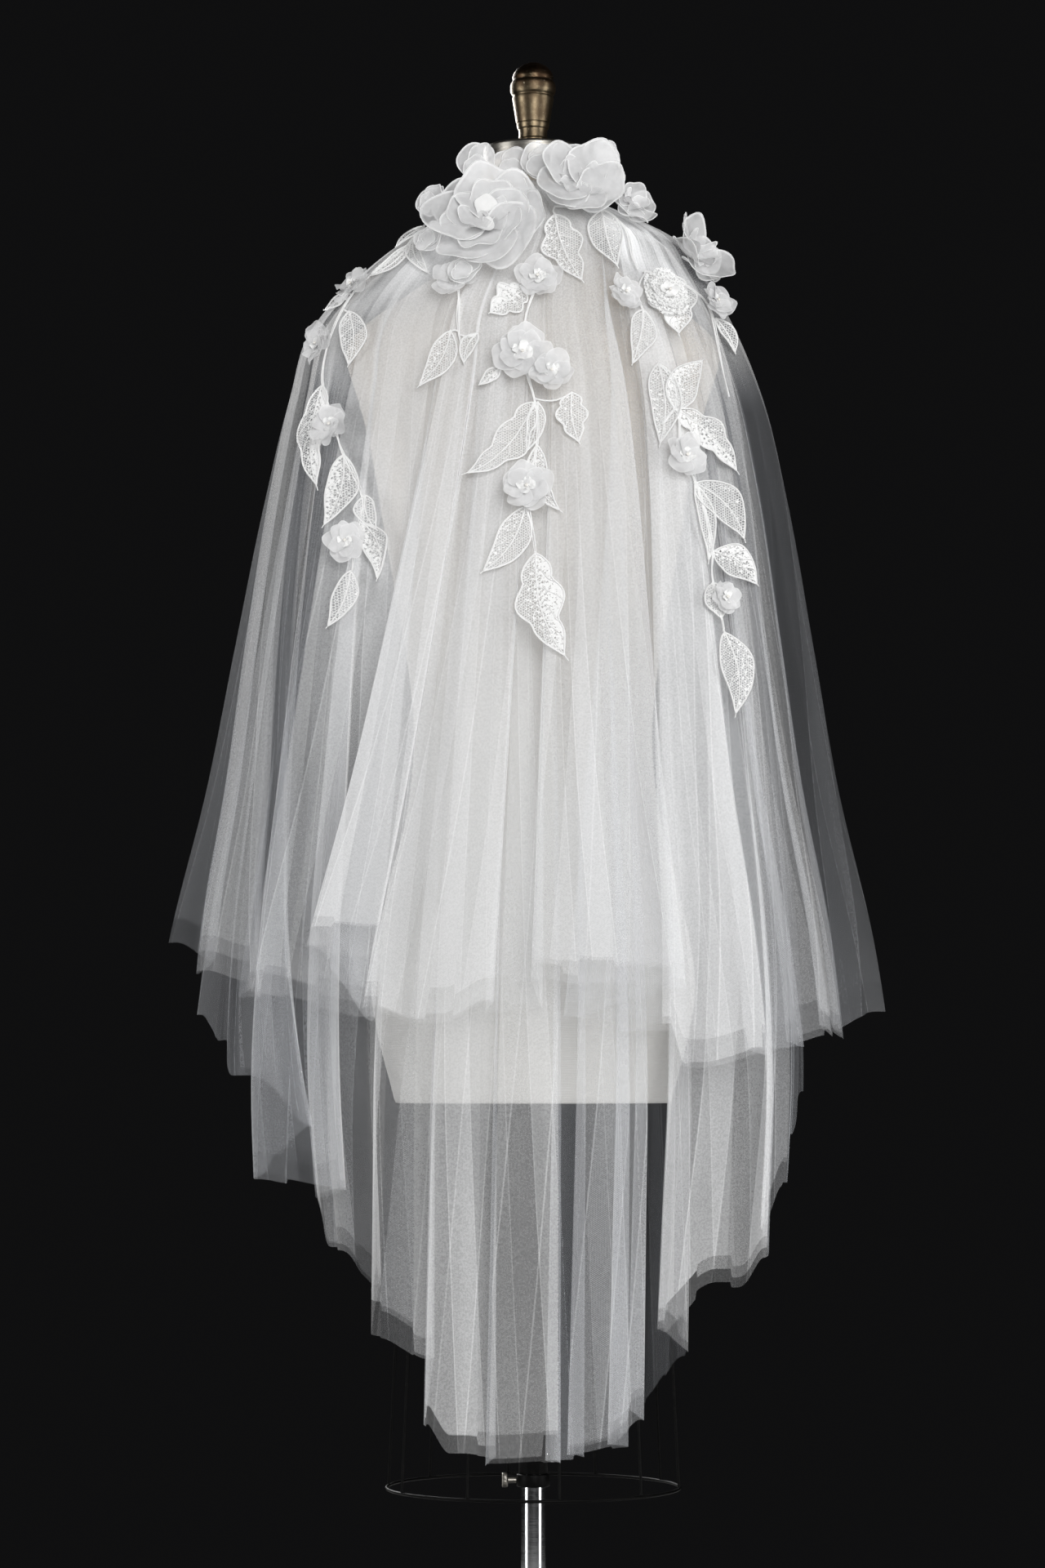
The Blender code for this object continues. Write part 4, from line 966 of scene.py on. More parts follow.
def cage_wires():
    """Straight wires on a cone, from the form's underside down to the round wire."""
    half_width = FORM_SECTIONS[0][1] * MM - WIRE_INSET
    back = FORM_SECTIONS[0][2] * MM - WIRE_INSET
    for k in range(WIRES):
        turn = math.radians(FIRST_WIRE + 360 / WIRES * k)
        way = np.array([math.cos(turn), -math.sin(turn), 0])
        low = CAGE_RADIUS * way + (0, 0, CAGE_HEIGHT + WIRE_RADIUS)
        high = way * (half_width, back, 0) + (0, 0, FORM_UNDERSIDE * MM)
        wire = Piece(f"cage_wire_{k + 1}_round", black)
        path = low + (high - low) * np.linspace(0, 1, 12)[:, None]
        wire.add(swept(path, WIRE_RADIUS, (math.sin(turn), math.cos(turn), 0), 10))
        seat(wire.make(), "form", "black_wire", f"cage_wire_{k + 1}")
    return float(np.linalg.norm(high - low))


def cage_ring():
    """A round wire that closes on itself: a small circle carried round a large one."""
    turns = np.linspace(0, 2 * np.pi, 145)[:, None]
    bend = np.linspace(0, 2 * np.pi, 13)
    aside = np.cos(bend)
    out = np.stack([aside * np.cos(turns), aside * np.sin(turns), np.sin(bend) + 0 * turns], -1)
    middle = CAGE_RADIUS * np.stack([np.cos(turns), np.sin(turns), 0 * turns], -1) + (0, 0, CAGE_HEIGHT)
    piece = Piece("cage_ring_round", black)
    piece.add(middle + WIRE_RADIUS * out, out=out[:-1, :-1].reshape(-1, 3))
    seat(piece.make(), "form", "black_wire", "cage_ring")


print("the last cage wire is", round(cage_wires(), 3), "m long")
cage_ring()

# %% [markdown]
# All that is sewn on the veil lies on the outermost layer of the short tier. Blender's Shrinkwrap could
# press flat leaves on it, but folds that lie over each other would catch them. So a map of angle and
# height keeps how proud the furthest layer stands, and a flat drawing, in across and up, is laid on that
# as whole arrays.

# %% The top of the veil
MAP_TURN = 98  # degrees that the map reaches to each side of the back's middle
MAP_HEIGHTS = (0.88, 1.5501)  # in metres, a little over the last row
MAP_STEP = 0.01
MAP_LINES = 281  # fold lines that are looked at
SEEN_EDGE = 0.94  # share of the half width past which places run on straight, not round the side


class VeilTop:
    """How proud the furthest layer of the short tier stands at each angle and height."""

    def __init__(self):
        at = np.linspace(0, len(SHORT_FOLDS) - 1, MAP_LINES)
        top_angle, hem_angle, hem_proud, hem = fold_lines(SHORT_FOLDS, SHORT_BELL, at)
        self.angles = np.radians(np.arange(-MAP_TURN, MAP_TURN + 0.1, 1.0))
        self.heights = np.arange(*MAP_HEIGHTS, MAP_STEP)
        top = SHORT_BELL[-1][0] * MM
        share = (top - self.heights[:, None]) / (top - hem)
        angle = (top_angle + (hem_angle - top_angle) * share)[..., None]
        proud = (1 + (hem_proud - 1) * share**FOLD_GROWTH)[..., None]
        run = np.diff(angle, axis=1)
        part = (self.angles - angle[:, :-1]) / np.where(abs(run) < 1e-9, 1e-9, run)
        layer = proud[:, :-1] + np.diff(proud, axis=1) * part
        crest = np.maximum(np.where((part >= 0) & (part <= 1), layer, 0.0).max(axis=1), 0.9)
        widest = np.max(self.neighbours(crest, 1), axis=0)
        self.crest = np.mean(self.neighbours(widest, 2), axis=0)

    def neighbours(self, values, rows):
        """The map moved by up to the given rows up and down, and by up to three places to each side."""
        wide = np.pad(values, ((rows, rows), (3, 3)), mode="edge")
        tall, across = values.shape
        return [wide[i : i + tall, j : j + across] for i in range(2 * rows + 1) for j in range(7)]

    def proud(self, angle, height):
        """The map read between its places."""
        column = (angle - self.angles[0]) / (self.angles[1] - self.angles[0])
        column = np.clip(column, 0, len(self.angles) - 1.001)
        row = np.clip((height - self.heights[0]) / MAP_STEP, 0, len(self.heights) - 1.001)
        i, j = row.astype(int), column.astype(int)
        s, t = row - i, column - j
        near = self.crest[i, j] * (1 - t) + self.crest[i, j + 1] * t
        far = self.crest[i + 1, j] * (1 - t) + self.crest[i + 1, j + 1] * t
        return near * (1 - s) + far * s

    def on_cloth(self, angle, height):
        """Points on the furthest layer."""
        return on_bell(SHORT_BELL, height, angle, self.proud(angle, height))

    def place(self, x, z, lift):
        """Points over the cloth, seen at x and z from behind and moved out by lift, and their normals."""
        x, z = np.broadcast_arrays(np.asarray(x, float), np.asarray(z, float))
        half_width, _, lean = bell_at(SHORT_BELL, z)
        across = (x - lean) / half_width
        seen = np.clip(across, -SEEN_EDGE, SEEN_EDGE)
        angle = np.arcsin(seen) + (across - seen) / np.sqrt(1 - seen**2)
        turn, rise = math.radians(2.5), 0.008
        along = self.on_cloth(angle + turn, z) - self.on_cloth(angle - turn, z)
        up = self.on_cloth(angle, z + rise) - self.on_cloth(angle, z - rise)
        normal = unit(np.cross(along, up))
        return self.on_cloth(angle, z) + normal * np.asarray(lift)[..., None], normal


veil_top = VeilTop()
print("veil top: proudest layer", round(float(veil_top.crest.max()), 3), "times the bell")

# %% [markdown]
# The lace is embroidered net: a fine hexagonal ground inside a raised white cord, with stitched veins and
# speckles of satin stitch. Every thread could be a curve, but a leaf has thousands. So the ground and the
# speckles are in the finish, while cord, midrib, veins and stems, which stand up to the eye, are swept.

# %% Lace finishes
LACE_HOLE = 2.4 * MM
CORD_STITCH = 0.9 * MM


def lace_finish():
    """Net ground, filled with satin stitch where the dense attribute and a noise say so."""
    finish = Finish("lace", Roughness=0.55, Sheen_Weight=0.25, Specular_IOR_Level=0.35)
    uv = finish.place("UV")
    net = net_of(finish, uv, LACE_HOLE)
    dense = finish.attribute("dense")
    spots = finish.grain(uv, 330.0, 3.0, 0.55)
    hatch = finish.grain(uv, 1500.0, 1.0)
    stitched = (spots + dense * 0.30 - 0.2).between(0.47, 0.52)
    finish.feed(Base_Color=(0.985, 0.985, 0.98, 1), Alpha=(net * 0.62 + 0.08).most(stitched * 0.96))
    finish.bump(stitched + net * 0.4 + hatch * 0.4 * stitched, 0.0006, 0.5)
    return finish


def thread_finish():
    """White rayon cord: fine slanting stitches along its own UV map, with a soft gloss."""
    finish = Finish("lace_cord", Roughness=0.4, Sheen_Weight=0.3)
    x, y, _ = finish.parts(finish.place("UV"))
    stitches = (x * 2 * math.pi + y * 2 * math.pi / CORD_STITCH).wave() * 0.5 + 0.5
    finish.feed(Base_Color=finish.blend(stitches, (0.93, 0.93, 0.925, 1), (0.99, 0.99, 0.985, 1)))
    finish.bump(stitches, 0.0003, 0.6)
    return finish


lace, thread = lace_finish(), thread_finish()
print("lace: holes", LACE_HOLE / MM, "mm wide, a stitch of its cord every", CORD_STITCH / MM, "mm")

# %% [markdown]
# A spray was cut out of a strip of lace and sewn down, so it is flat by nature. It is drawn flat, as it
# is seen from behind, with a stem through a few points and a leaf as a line from its base to its tip.

# %% The sprays, drawn flat in millimetres
# Columns of a spray: name, lift over the cloth, points of its stem, leaves.
# Columns of a leaf: lobed or not, base across, up, tip across, up, width, share of satin stitch, bend.
LOBED, PLAIN = True, False
SPRAYS = [
    ("spray_left", 1.2, [
        (-112, 1511), (-127, 1487), (-154, 1463), (-182, 1440), (-204, 1400), (-216, 1345), (-201, 1289),
        (-193, 1258), (-181, 1214), (-181, 1186), (-192, 1137),
    ], [
        (PLAIN, -126, 1485, -169, 1452, 14, 0.3, 0.1), (PLAIN, -112, 1508, -141, 1488, 14, 0.3, -0.08),
        (PLAIN, -122, 1495, -111, 1450, 15, 0.2, -0.1), (PLAIN, -192, 1436, -221, 1425, 16, 0.6, 0.06),
        (PLAIN, -188, 1413, -187, 1355, 27, 0.3, 0.08), (LOBED, -216, 1336, -222, 1230, 36, 1.0, -0.08),
        (PLAIN, -193, 1258, -211, 1187, 27, 0.7, 0.08), (PLAIN, -177, 1215, -170, 1180, 17, 0.1, -0.1),
        (PLAIN, -179, 1186, -168, 1130, 26, 0.7, 0.12), (PLAIN, -192, 1137, -211, 1082, 18, 0.3, 0.06),
    ]),
    ("spray_inner", 1.2, [
        (-76, 1442), (-75, 1418), (-74, 1395), (-75, 1361),
    ], [
        (PLAIN, -83, 1382, -116, 1326, 26, 0.4, 0.12), (PLAIN, -57, 1379, -70, 1348, 14, 0.2, -0.1),
    ]),
    ("spray_centre", 1.2, [
        (5, 1438), (-8, 1395), (-8, 1350), (2, 1302), (4, 1260), (-5, 1205), (3, 1149),
    ], [
        (LOBED, -8, 1428, -44, 1402, 37, 1.0, 0.0), (PLAIN, -34, 1342, -55, 1325, 12, 0.8, 0.0),
        (LOBED, 38, 1315, 44, 1264, 30, 0.4, -0.06), (LOBED, 1, 1305, -66, 1232, 37, 0.3, 0.1),
        (PLAIN, 5, 1305, -6, 1255, 18, 0.1, 0.06), (PLAIN, 4, 1260, 24, 1193, 23, 0.6, -0.14),
        (PLAIN, -8, 1196, -50, 1132, 33, 0.4, 0.1), (LOBED, 3, 1149, 29, 1045, 47, 0.9, -0.08),
    ]),
    ("spray_neck", 2.8, [
        (22, 1520), (46, 1520), (70, 1521), (91, 1501), (101, 1474), (108, 1453),
    ], [
        (LOBED, 22, 1510, 47, 1437, 40, 0.5, -0.06), (PLAIN, 70, 1518, 84, 1456, 36, 0.3, -0.06),
    ]),
    ("spray_shoulder", 2.0, [
        (114, 1452), (138, 1450), (163, 1440), (182, 1424), (195, 1380), (206, 1324),
    ], [
        (LOBED, 136, 1452, 152, 1387, 50, 1.1, 0.04), (PLAIN, 115, 1409, 101, 1350, 28, 0.3, 0.08),
        (PLAIN, 193, 1410, 216, 1377, 17, 0.4, 0.08),
    ]),
    ("spray_right", 1.2, [
        (137, 1288), (152, 1304), (158, 1254), (171, 1228), (190, 1165), (191, 1129), (204, 1081),
    ], [
        (PLAIN, 132, 1352, 137, 1269, 31, 0.4, 0.06), (PLAIN, 150, 1304, 176, 1360, 32, 0.8, 0.1),
        (LOBED, 152, 1304, 216, 1247, 33, 0.9, 0.06), (PLAIN, 171, 1228, 226, 1177, 37, 0.3, 0.12),
        (PLAIN, 172, 1226, 187, 1150, 17, 0.0, 0.06), (PLAIN, 192, 1159, 240, 1131, 33, 0.8, 0.1),
        (PLAIN, 191, 1126, 201, 1091, 27, 0.4, 0.0), (PLAIN, 205, 1076, 220, 995, 36, 0.5, 0.1),
    ]),
]
print("sprays:", len(SPRAYS), "with", sum(len(leaves) for *_, leaves in SPRAYS), "leaves")

# %% [markdown]
# Leaves and stems are then laid on the cloth. They could be traced by hand, point by point, but a leaf's
# half width is a power of a sine along its midrib, which gives a round base and a drawn-out tip, and a
# few numbers for each leaf say the rest.

# %% A leaf, drawn flat
TIP_START = 0.86  # share of the way along where the tip's bend is taken back


def leaf_half_width(lobed, along, uneven):
    """Half width of a leaf, as a share of its full half: a pointed oval, or one with rounded lobes."""
    oval = np.sin(np.pi * np.clip(along, 0, 1) ** 0.78) ** 0.95 * (1 + 0.05 * np.sin(11 * along + uneven))
    lobes = 0.68 + 0.36 * np.abs(np.sin(np.pi * (2.6 * along + 0.32)))
    return oval * (lobes if lobed else 1.0)


def leaf_point(leaf, along, across):
    """A flat point of a leaf: along its bent midrib, then out by its half width times across."""
    lobed, base_x, base_z, tip_x, tip_z, width, _, bend = leaf
    base, run = np.array([base_x, base_z]) * MM, np.array([tip_x - base_x, tip_z - base_z]) * MM
    length = np.linalg.norm(run)
    side = np.array([-run[1], run[0]]) / length
    bow = bend * length * np.sin(np.pi * along)
    bow = bow - np.where(along > TIP_START, (along - TIP_START) * 1.2 * bend * length, 0.0)
    out = bow + across * leaf_half_width(lobed, along, base_x + across) * width / 2 * MM
    return base + along[..., None] * run + out[..., None] * side


print("a leaf is widest", leaf_half_width(PLAIN, np.linspace(0, 1, 101), 0).argmax(), "% of the way along")

# %% Leaves and cords on the cloth
CORD_RADIUS = 1.05 * MM
VEIN_RADIUS = 0.42 * MM
BROAD_LEAF = 20  # width in millimetres above which a leaf has four veins a side, not two


def laid(flat, lift):
    """Flat points laid over the veil, and the cloth's normals there."""
    return veil_top.place(flat[..., 0], flat[..., 1], lift)


def add_leaf(piece, leaf, lift, number):
    """The net of a leaf with its raised outline, midrib and side veins."""
    along, across = np.meshgrid(np.linspace(0, 1, 25), np.linspace(-1, 1, 13), indexing="ij")
    flat = leaf_point(leaf, along, across)
    curl = 1.6 * MM * across**2 * np.sin(np.pi * along)
    points, normal = laid(flat, lift + curl)
    dense = leaf[6] * (0.75 + 0.5 * across * np.sign((number % 2) - 0.5))
    piece.add(points, out=normal[:-1, :-1].reshape(-1, 3), uv=flat, finish=0, dense=np.clip(dense, 0, 1.3))
    turn = np.linspace(0, 2, 73)
    edge_along = 1 - np.abs(1 - turn)
    edge_along = 0.5 - 0.5 * np.cos(np.pi * edge_along)
    edge = leaf_point(leaf, edge_along, np.where(turn < 1, 1.0, -1.0))
    add_cord(piece, edge, lift + 1.9 * MM * np.sin(np.pi * edge_along), CORD_RADIUS)
    rib_along = np.linspace(-0.02, 1.06, 26)
    rib_radius = CORD_RADIUS * (1 - 0.45 * np.clip(rib_along, 0, 1))
    add_cord(piece, leaf_point(leaf, rib_along, 0 * rib_along), lift + 0.3 * MM, rib_radius)
    for side in (-1, 1):
        for start in np.linspace(0.12, 0.68, 4 if leaf[5] > BROAD_LEAF else 2):
            out = np.linspace(0, 0.94, 9)
            vein = leaf_point(leaf, start + 0.2 * out**1.3, side * out)
            add_cord(piece, vein, lift + 0.4 * MM + 1.5 * MM * out**2, VEIN_RADIUS, 4)


def add_cord(piece, flat, lift, radius, sides=5):
    """One embroidered cord over the veil, along a flat path."""
    points, normal = laid(flat, lift)
    run = np.concatenate([[0], np.cumsum(np.linalg.norm(np.diff(points, axis=0), axis=1))])
    run = np.concatenate([[0], run, [run[-1]]])[:, None]
    around = np.linspace(0, 1, sides + 1)
    uv = np.stack([around + 0 * run, run + 0 * around], -1)
    piece.add(swept(points, radius, normal, sides), uv=uv, finish=1, dense=1.0)


print("a leaf's outline is a cord", 2 * CORD_RADIUS / MM, "mm thick")

# %% Whole sprays
LACE_OUTWARD = (0.0, -0.94, 0.34)  # the way that lace is shaded towards
LACE_SCATTER = 0.5
SPRAY_LIFT = 2.4 * MM  # over the solid spray's place, clear of the cloth's ripples


def spray(name, lift, stem, leaves):
    """One spray: its leaves, a main stem smooth through its points, and a short stalk to each leaf."""
    piece = Piece(name + "_lace", lace, thread)
    rise = lift * MM + SPRAY_LIFT
    points = np.array(stem, float) * MM
    at = np.linspace(0, len(points) - 1, len(points) * 8)
    line = np.stack([through(np.arange(len(points)), points[:, k], at) for k in (0, 1)], -1)
    share = at / at[-1]
    line += np.array([2.0, 0.4]) * MM * (np.sin(at * 2.6) * share**2)[:, None]
    thin = 1 - 0.55 * share**3
    add_cord(piece, line, rise, CORD_RADIUS * 1.15 * thin, 6)
    beside = np.array([1.9, 0.6]) * MM * np.cos(at * 1.7)[:, None]
    add_cord(piece, line + beside, rise + 0.3 * MM, CORD_RADIUS * 0.8 * thin, 5)
    for number, leaf in enumerate(leaves):
        add_leaf(piece, leaf, rise, number)
        base = np.array(leaf[1:3]) * MM
        nearest = line[np.argmin(np.linalg.norm(line - base, axis=1))]
        if np.linalg.norm(nearest - base) > 2 * MM:
            step = np.linspace(0, 1, 8)[:, None]
            bow = np.array([base[1] - nearest[1], nearest[0] - base[0]]) * 0.15 * np.sin(np.pi * step)
            add_cord(piece, nearest + (base - nearest) * step + bow, rise, CORD_RADIUS)
    made = piece.make()
    soften(made, np.array(LACE_OUTWARD), LACE_SCATTER)
    return seat(made, "form", "lace", name)


sprays = [spray(*row) for row in SPRAYS]

# %% [markdown]
# Petals are round pieces of organza with a sealed, thicker rim, and the hearts of small flowers are
# crumpled satin. Organza could be a glass-like shader, but cloth is thread and gaps, so its finish lets a
# share of the light pass unbent, less of it where threads cross and at the rim.

# %% Petal finishes
ORGANZA_THREAD = 0.45 * MM


def organza_finish():
    """Sheer crisp cloth: a fine weave that stops more light at the rim, where the rim attribute says so."""
    finish = Finish("organza", Roughness=0.5, Sheen_Weight=0.5, Specular_IOR_Level=0.4)
    x, y, _ = finish.parts(finish.place("UV"))
    pace = 2 * math.pi / ORGANZA_THREAD
    weave = (x * pace).wave() * (y * pace).wave()
    rim = finish.attribute("rim")
    sheer = finish.grain(finish.place(), 55.0, 3.0).between(0.3, 0.7, 0.50, 0.68)
    finish.feed(Base_Color=finish.blend(rim, (0.96, 0.96, 0.965, 1), (0.985, 0.985, 0.985, 1)))
    finish.feed(Alpha=(sheer + weave * 0.05 + rim * 0.48).least(0.97))
    finish.bump(weave * 0.3 + rim, 0.0005, 0.5)
    return finish


def satin_finish():
    """Satin: smooth threads with a soft gloss and small creases, their hollows painted darker as shade."""
    finish = Finish("satin", Roughness=0.34, Sheen_Weight=0.4)
    place = finish.place()
    crease = finish.grain(place, 120.0, 4.0, 0.6)
    # painted shade: the crease noise that makes the bump also darkens the colour in the creases' hollows
    finish.feed(Base_Color=finish.blend(crease, (0.90, 0.90, 0.89, 1), (0.98, 0.98, 0.975, 1)))
    finish.bump(crease, 0.0015, 0.5)
    return finish


def pearl_finish():
    """A small pearl: warm white under a clear coat, with a faint mottle."""
    finish = Finish("pearl", Roughness=0.25, Coat_Weight=0.8, Coat_Roughness=0.08)
    mottle = finish.grain(finish.place(), 900.0, 2.0)
    finish.feed(Base_Color=finish.blend(mottle, (0.80, 0.77, 0.71, 1), (0.90, 0.88, 0.84, 1)))
    return finish


organza, satin, pearl = organza_finish(), satin_finish(), pearl_finish()
ORGANZA, SATIN, PEARL, LACE = range(4)  # places in a flower's list of finishes
print("petal finishes:", organza.material.name, satin.material.name, pearl.material.name)

# %% [markdown]
# Each petal is a disc in its own plane, cupped by the square of its distance from the flower's middle,
# with a few waves that grow towards the rim. Cut petals never match, so a seeded draw sets each one's
# outline, cup and waves, and the same seed gives the same petals every time.

# %% Petals and pearls
RIM_SHARE = 0.92  # where a petal's sealed rim starts
RIM_CORD = 0.55 * MM
PETAL_TILT = 0.4  # most that a petal's left edge is lifted over its neighbour, as a slope
PETAL_SCATTER = 0.4


def facing(axis, turn):
    """The three unit vectors of a flower: across, up its first petal, and out of its middle."""
    towards = Vector(axis).normalized().to_track_quat("Z", "Y").to_matrix()
    return np.array(towards @ Matrix.Rotation(math.radians(turn), 3, "Z"))


def petal_disc(radius, reach, cup, waves, chance, rings=11, around=41):
    """Points of one petal in its flower's frame, before its turn, and how near its rim each is.

    The disc's middle lies at reach along +X. It rises by cup times its radius times the squared share of
    the way from the flower's middle, and waves round its rim by a sine of its own turn, as five random
    numbers say.
    """
    share = np.linspace(0, 1, rings)[:, None] ** 0.8
    turns = np.linspace(0, 2 * np.pi, around)
    uneven = 1 + 0.06 * np.sin(2 * turns + chance[0] * 6) + 0.04 * np.sin(5 * turns + chance[1] * 6)
    x = reach + radius * share * uneven * np.cos(turns)
    y = radius * share * uneven * np.sin(turns)
    outwards = np.clip((x + 0 * y) / (reach + radius), 0, 1.2)
    rise = cup * radius * outwards**2
    ripple = waves * radius * share**2 * np.sin((2 + int(chance[2] * 2.99)) * turns + chance[3] * 6)
    curl = 0.12 * radius * share**6 * (chance[4] - 0.3)
    rim = np.clip((share - RIM_SHARE) / (1 - RIM_SHARE), 0, 1) + 0 * turns
    return np.stack([x, y, rise + ripple + curl], -1), rim


def add_petal(piece, base, axes, points, rim, finish, corded=False):
    """Turn a petal into its place and add it, with a thin cord along its rim if it is corded."""
    placed = base + points @ axes.T
    piece.add(placed, out=axes[:, 2], uv=points[..., :2], finish=finish, rim=rim, dense=0.7)
    if corded:
        grid, out = swept_ring(placed[-1], RIM_CORD, axes[:, 2], 5)
        piece.add(grid, out=out, finish=ORGANZA, rim=1.0)


def add_pearl(piece, place, radius, finish):
    """A small ball: sine and cosine of two turns."""
    down = np.linspace(0, np.pi, 9)[:, None]
    turns = np.linspace(0, 2 * np.pi, 15)
    aside = np.sin(down)
    ball = np.stack([aside * np.cos(turns), aside * np.sin(turns), np.cos(down) + 0 * turns], -1)
    piece.add(np.asarray(place) + radius * ball, finish=finish, rim=1.0)


print("a rose petal's rim is a cord", 2 * RIM_CORD / MM, "mm thick")

# %% [markdown]
# A small flower is two layers of petals round a tuft of satin with a pearl in it. One flower could be
# copied fourteen times, but cut petals differ, so each is made from the same few rows with draws of its
# own. It sits on the cloth where it is seen, and faces the way the cloth does there.

# %% Small flowers
LACE_FLOWER = "flower_shoulder_1"  # its petals are dense lace like the leaves round it
LACE_STIFF = 0.35  # how much of its cup and waves a lace petal keeps
PETAL_LIFT = 2.6 * MM
PEARL_RADIUS = 1.7 * MM
FLOWER_RIM = 0.3  # how much of the sealed rim shows on petals as small as these
# Columns of its layers, the last of which is the tuft: size and rise as shares of its radius, and cup.
FLOWER_LAYERS = [(1.0, 0.0, 0.30), (0.80, 0.10, 0.5), (0.36, 0.16, 0.7)]
TUFT_PETALS = 4
# Columns: name, across, up, lift of its underside over the cloth, diameter, petals, turn.
SMALL_FLOWERS = [
    ("flower_left_1", -182, 1439, 3, 47, 5, 10), ("flower_left_2", -217, 1380, 3, 46, 5, 40),
    ("flower_left_3", -201, 1289, 4, 46, 5, 0), ("flower_left_4", -192, 1166, 8, 44, 5, 25),
    ("flower_inner", -76, 1435, 4, 48, 5, 15), ("flower_centre_1", 5, 1436, 4, 50, 5, 30),
    ("flower_centre_2", -10, 1354, 4, 62, 6, 5), ("flower_centre_3", 20, 1330, 15, 44, 5, 50),
    ("flower_centre_4", -5, 1215, 6, 54, 5, 20), ("flower_neck", 90, 1424, 4, 42, 5, 35),
    ("flower_shoulder_1", 136, 1428, 4, 56, 6, 12), ("flower_shoulder_2", 181, 1420, 13, 42, 5, 28),
    ("flower_right_1", 158, 1254, 5, 46, 5, 8), ("flower_right_2", 201, 1111, 5, 37, 5, 44),
]


def small_flower(name, x, z, lift, diameter, petals, turn, chance):
    """Two layers of organza petals round a satin tuft, with a pearl in the middle."""
    place, normal = veil_top.place(x * MM, z * MM, lift * MM + PETAL_LIFT)
    radius = diameter / 2 * MM
    piece = Piece(name + "_petals", organza, satin, pearl, lace)
    for layer, (size, height, cup) in enumerate(FLOWER_LAYERS):
        tuft = layer == len(FLOWER_LAYERS) - 1
        laced = name == LACE_FLOWER and not tuft
        count, waves = (TUFT_PETALS, 0.3) if tuft else (petals, 0.18)
        finish = SATIN if tuft else LACE if laced else ORGANZA
        keep = LACE_STIFF if laced else 1.0
        for k in range(count):
            axes = facing(normal, turn + 360 / count * k + 34 * layer + chance.uniform(-15, 15))
            disc = radius * size * chance.uniform(0.45, 0.57)
            lean = (cup + chance.uniform(-0.15, 0.3)) * keep
            points, rim = petal_disc(disc, radius * size * 0.5, lean, waves * keep, chance.random(5), 8, 25)
            tilt = chance.uniform(0.0, PETAL_TILT) * keep
            points[..., 2] += radius * height + 0.35 * MM * k + tilt * (points[..., 1] + disc)
            add_petal(piece, place, axes, points, rim * FLOWER_RIM, finish)
    add_pearl(piece, place + normal * radius * FLOWER_LAYERS[-1][0], PEARL_RADIUS, PEARL)
    made = piece.make()
    soften(made, normal, PETAL_SCATTER)
    return seat(made, "form", "organza", name)


chance = np.random.default_rng(5)
flowers = [small_flower(*row, chance) for row in SMALL_FLOWERS]

# %% [markdown]
# Each rose is two or three rings of large petals, set in one another. They could follow one spiral, but a
# maker sews them ring by ring. A ring's petals overlap, so each lies a little over the one before it, and
# one side of it is lifted over its neighbour.

# %% Roses
SATIN_HEART = "rose_nape_heart"  # every other petal of it is satin
# Columns: name, where its base is, the way it faces, radius, petals, cup, turn.
ROSE_RINGS = [
    ("rose_nape_outer", (-45, -120, 1494), (-0.15, -0.90, 0.42), 65, 8, 0.22, 0),
    ("rose_nape_middle", (-46, -125, 1497), (-0.15, -0.90, 0.42), 45, 6, 0.30, 20),
    ("rose_nape_heart", (-47, -130, 1500), (-0.15, -0.90, 0.42), 27, 5, 0.50, 35),
    ("rose_neck_outer", (46, -101, 1542), (0.18, -0.90, 0.40), 46, 8, 0.16, 10),
    ("rose_neck_heart", (47, -107, 1544), (0.18, -0.90, 0.40), 27, 6, 0.32, 30),
    ("rose_side_outer", (98, -76, 1524), (0.52, -0.68, 0.52), 30, 6, 0.30, 0),
    ("rose_side_heart", (101, -80, 1527), (0.52, -0.68, 0.52), 16, 4, 0.60, 15),
    ("rose_shoulder_outer", (162, -44, 1475), (0.70, -0.40, 0.59), 41, 6, 0.40, 5),
    ("rose_shoulder_heart", (166, -46, 1479), (0.70, -0.40, 0.59), 22, 5, 0.70, 25),
]


def rose_ring(name, base, axis, radius, petals, cup, turn, chance):
    """One ring of a rose: its petals evenly round the middle, each a little over the one before."""
    heart = name.endswith("heart")
    size, waves = (0.50, 0.34) if heart else (0.53, 0.15)
    piece = Piece(name + "_petals", organza, satin)
    radius, base = radius * MM, np.array(base) * MM
    for k in range(petals):
        axes = facing(axis, turn + 360 / petals * k + chance.uniform(-16, 16))
        disc = radius * size * chance.uniform(0.84, 1.08)
        lean = cup + chance.uniform(-0.14, 0.2)
        points, rim = petal_disc(disc, radius * 0.47, lean * 2.2, waves, chance.random(5))
        points[..., 2] += 0.5 * MM * k + chance.uniform(0.0, PETAL_TILT) * (points[..., 1] + disc)
        satin_bit = name == SATIN_HEART and k % 2 == 1
        add_petal(piece, base, axes, points, rim, SATIN if satin_bit else ORGANZA, not heart)
    made = piece.make()
    soften(made, unit(np.array(axis)), PETAL_SCATTER)
    return seat(made, "form", "organza", name)


chance = np.random.default_rng(9)
roses = [rose_ring(*row, chance) for row in ROSE_RINGS]

# %% [markdown]
# Loose petals stand between the roses and the neck. Each could be one disc, but that looks like paper, so
# it has two smaller ones over it, a little to its side.

